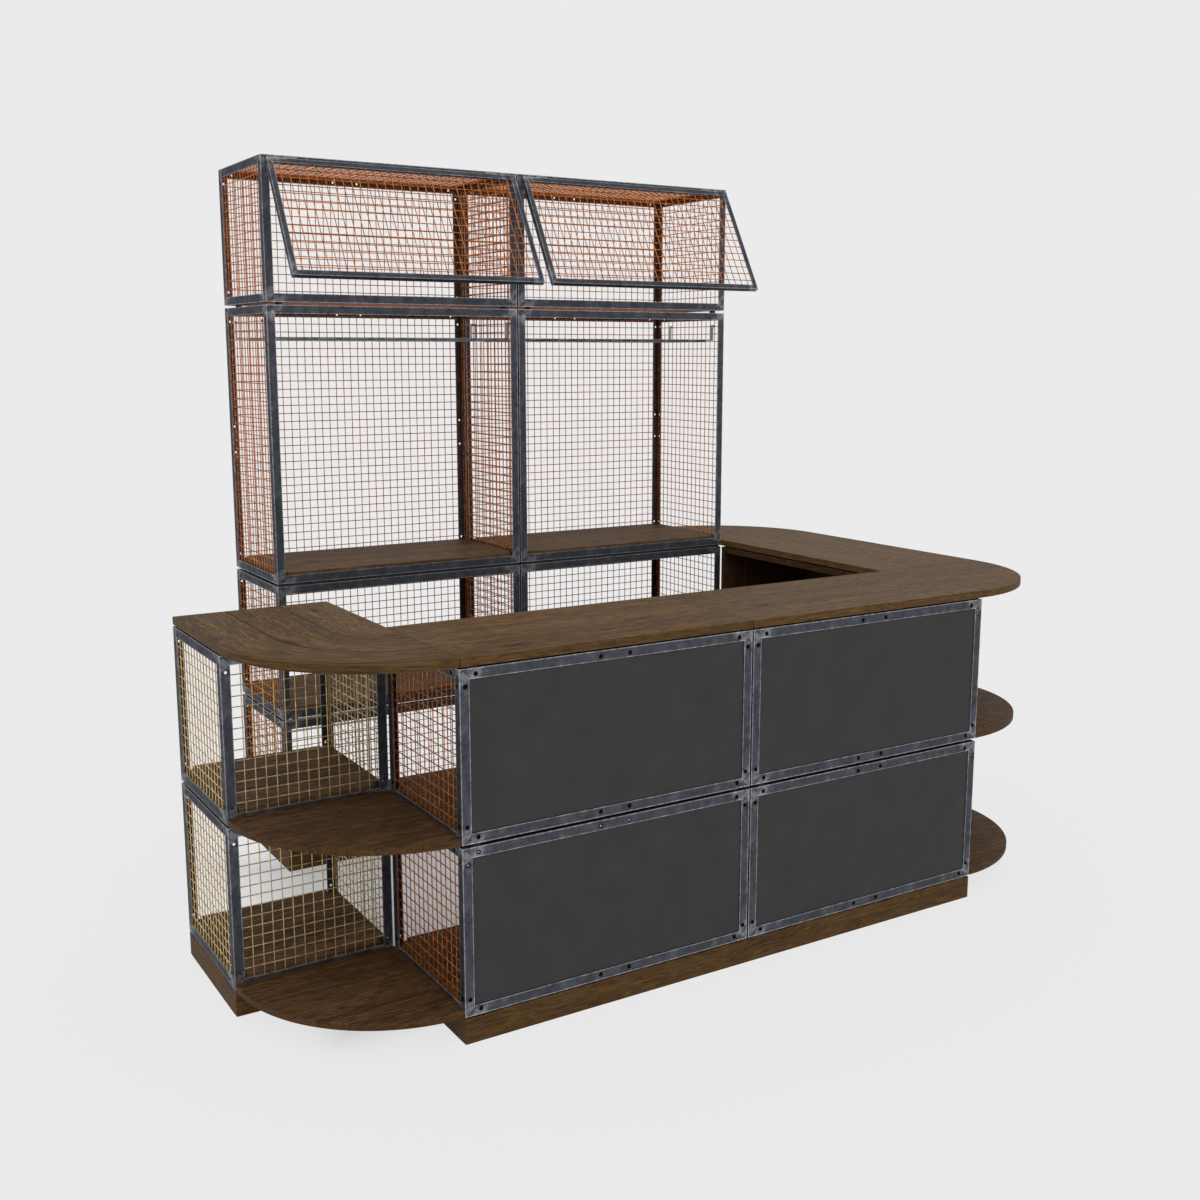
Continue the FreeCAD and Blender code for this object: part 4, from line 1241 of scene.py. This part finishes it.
zinc_head = tree_mesh(head_tree, BORE_HEAD)
panel_screws = []
for module, x, z in FILLED_HOLES:
    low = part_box("front_frame_" + module)[0]
    seat = Vector((low.x + x * MM, low.y + WALL, low.z + z * MM))
    panel_screws.append((zinc_head, Matrix.Translation(seat) @ UPRIGHT))
filled = joined("front_panel_screws", panel_screws, strap_steel)
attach(filled, body_of_node["front_panels_lower"])
print(filled.name, len(panel_screws), "heads", len(filled.data.polygons), "faces")

# %% [markdown]
# Light and floor.
# The photograph shows the bar cut out on a plain pale grey, lit evenly from all round. An
# even sky gives that light, and a broad soft sun from the front left gives the faces a
# little difference. The floor has the sky's colour, so it can't be told from the background,
# and it keeps a faint shadow of the bar.

# %% Make the sky and the sun
BACKGROUND = linear("#EBEBEB")
SKY = 0.86
SUN = 0.62
SUN_SPREAD = 50
SUN_TILT = 38
SUN_LEAN = -22


def seen(node):
    """1 for what the camera sees straight on, in a gloss or through something clear."""
    path = node("LightPath").outputs
    either = node("Math", (path["Is Camera Ray"], path["Is Glossy Ray"]), "MAXIMUM")
    return node("Math", (either, path["Is Transmission Ray"]), "MAXIMUM")


world = bpy.data.worlds.new("sky")
bpy.context.scene.world = world
node = empty_tree(world)
sky_light = node("Background", {"Color": linear("#FFFFFF"), "Strength": SKY})
sky_seen = node("Background", {"Color": BACKGROUND, "Strength": 1.0})
node("OutputWorld", {"Surface": node("MixShader", (seen(node), sky_light, sky_seen))})
sun_data = bpy.data.lights.new("sun", "SUN")
sun_data.energy = SUN
sun_data.angle = math.radians(SUN_SPREAD)
sun = link("sun", sun_data)
sun.rotation_euler = (math.radians(SUN_TILT), math.radians(SUN_LEAN), 0)
print("sky", SKY, "sun", SUN)

# %% Lay the floor
HALF_FLOOR = 30.0
LIT_FLOOR = "#E8E8E8"
# under the bar and in its aisle the shadow is kept in full, and round it only faintly
SHADOW_RANGE = (0.1, 0.55, 0.10, 0.85)

floor_material = bpy.data.materials.new("pale_floor")
node = empty_tree(floor_material)
matt = node("BsdfDiffuse", {"Color": BACKGROUND})
lit = node("BsdfDiffuse", {"Color": linear(LIT_FLOOR)})
glow = node("Emission", {"Color": BACKGROUND})
where = node("TexCoord").outputs["Object"]
past_low = node("VectorMath", (where, tuple(cad_box[0])), "SUBTRACT")
past_high = node("VectorMath", (tuple(cad_box[1]), where), "SUBTRACT")
inside = node("VectorMath", (past_low, past_high), "MINIMUM")
depths = node("SeparateXYZ", (inside,)).outputs
nearest = node("Math", (depths["X"], depths["Y"]), "MINIMUM")
share = node("MapRange", (nearest, *SHADOW_RANGE), **SMOOTH)
shaded = node("MixShader", (share, glow, lit))
node("OutputMaterial", {"Surface": node("MixShader", (seen(node), matt, shaded))})
floor_mesh = bpy.data.meshes.new("floor")
corners = [(x * HALF_FLOOR, y * HALF_FLOOR, 0)
           for x, y in ((-1, -1), (1, -1), (1, 1), (-1, 1))]
floor_mesh.from_pydata(corners, [], [(0, 1, 2, 3)])
floor_mesh.materials.append(floor_material)
link("floor", floor_mesh)
print("floor", 2 * HALF_FLOOR, "m wide")
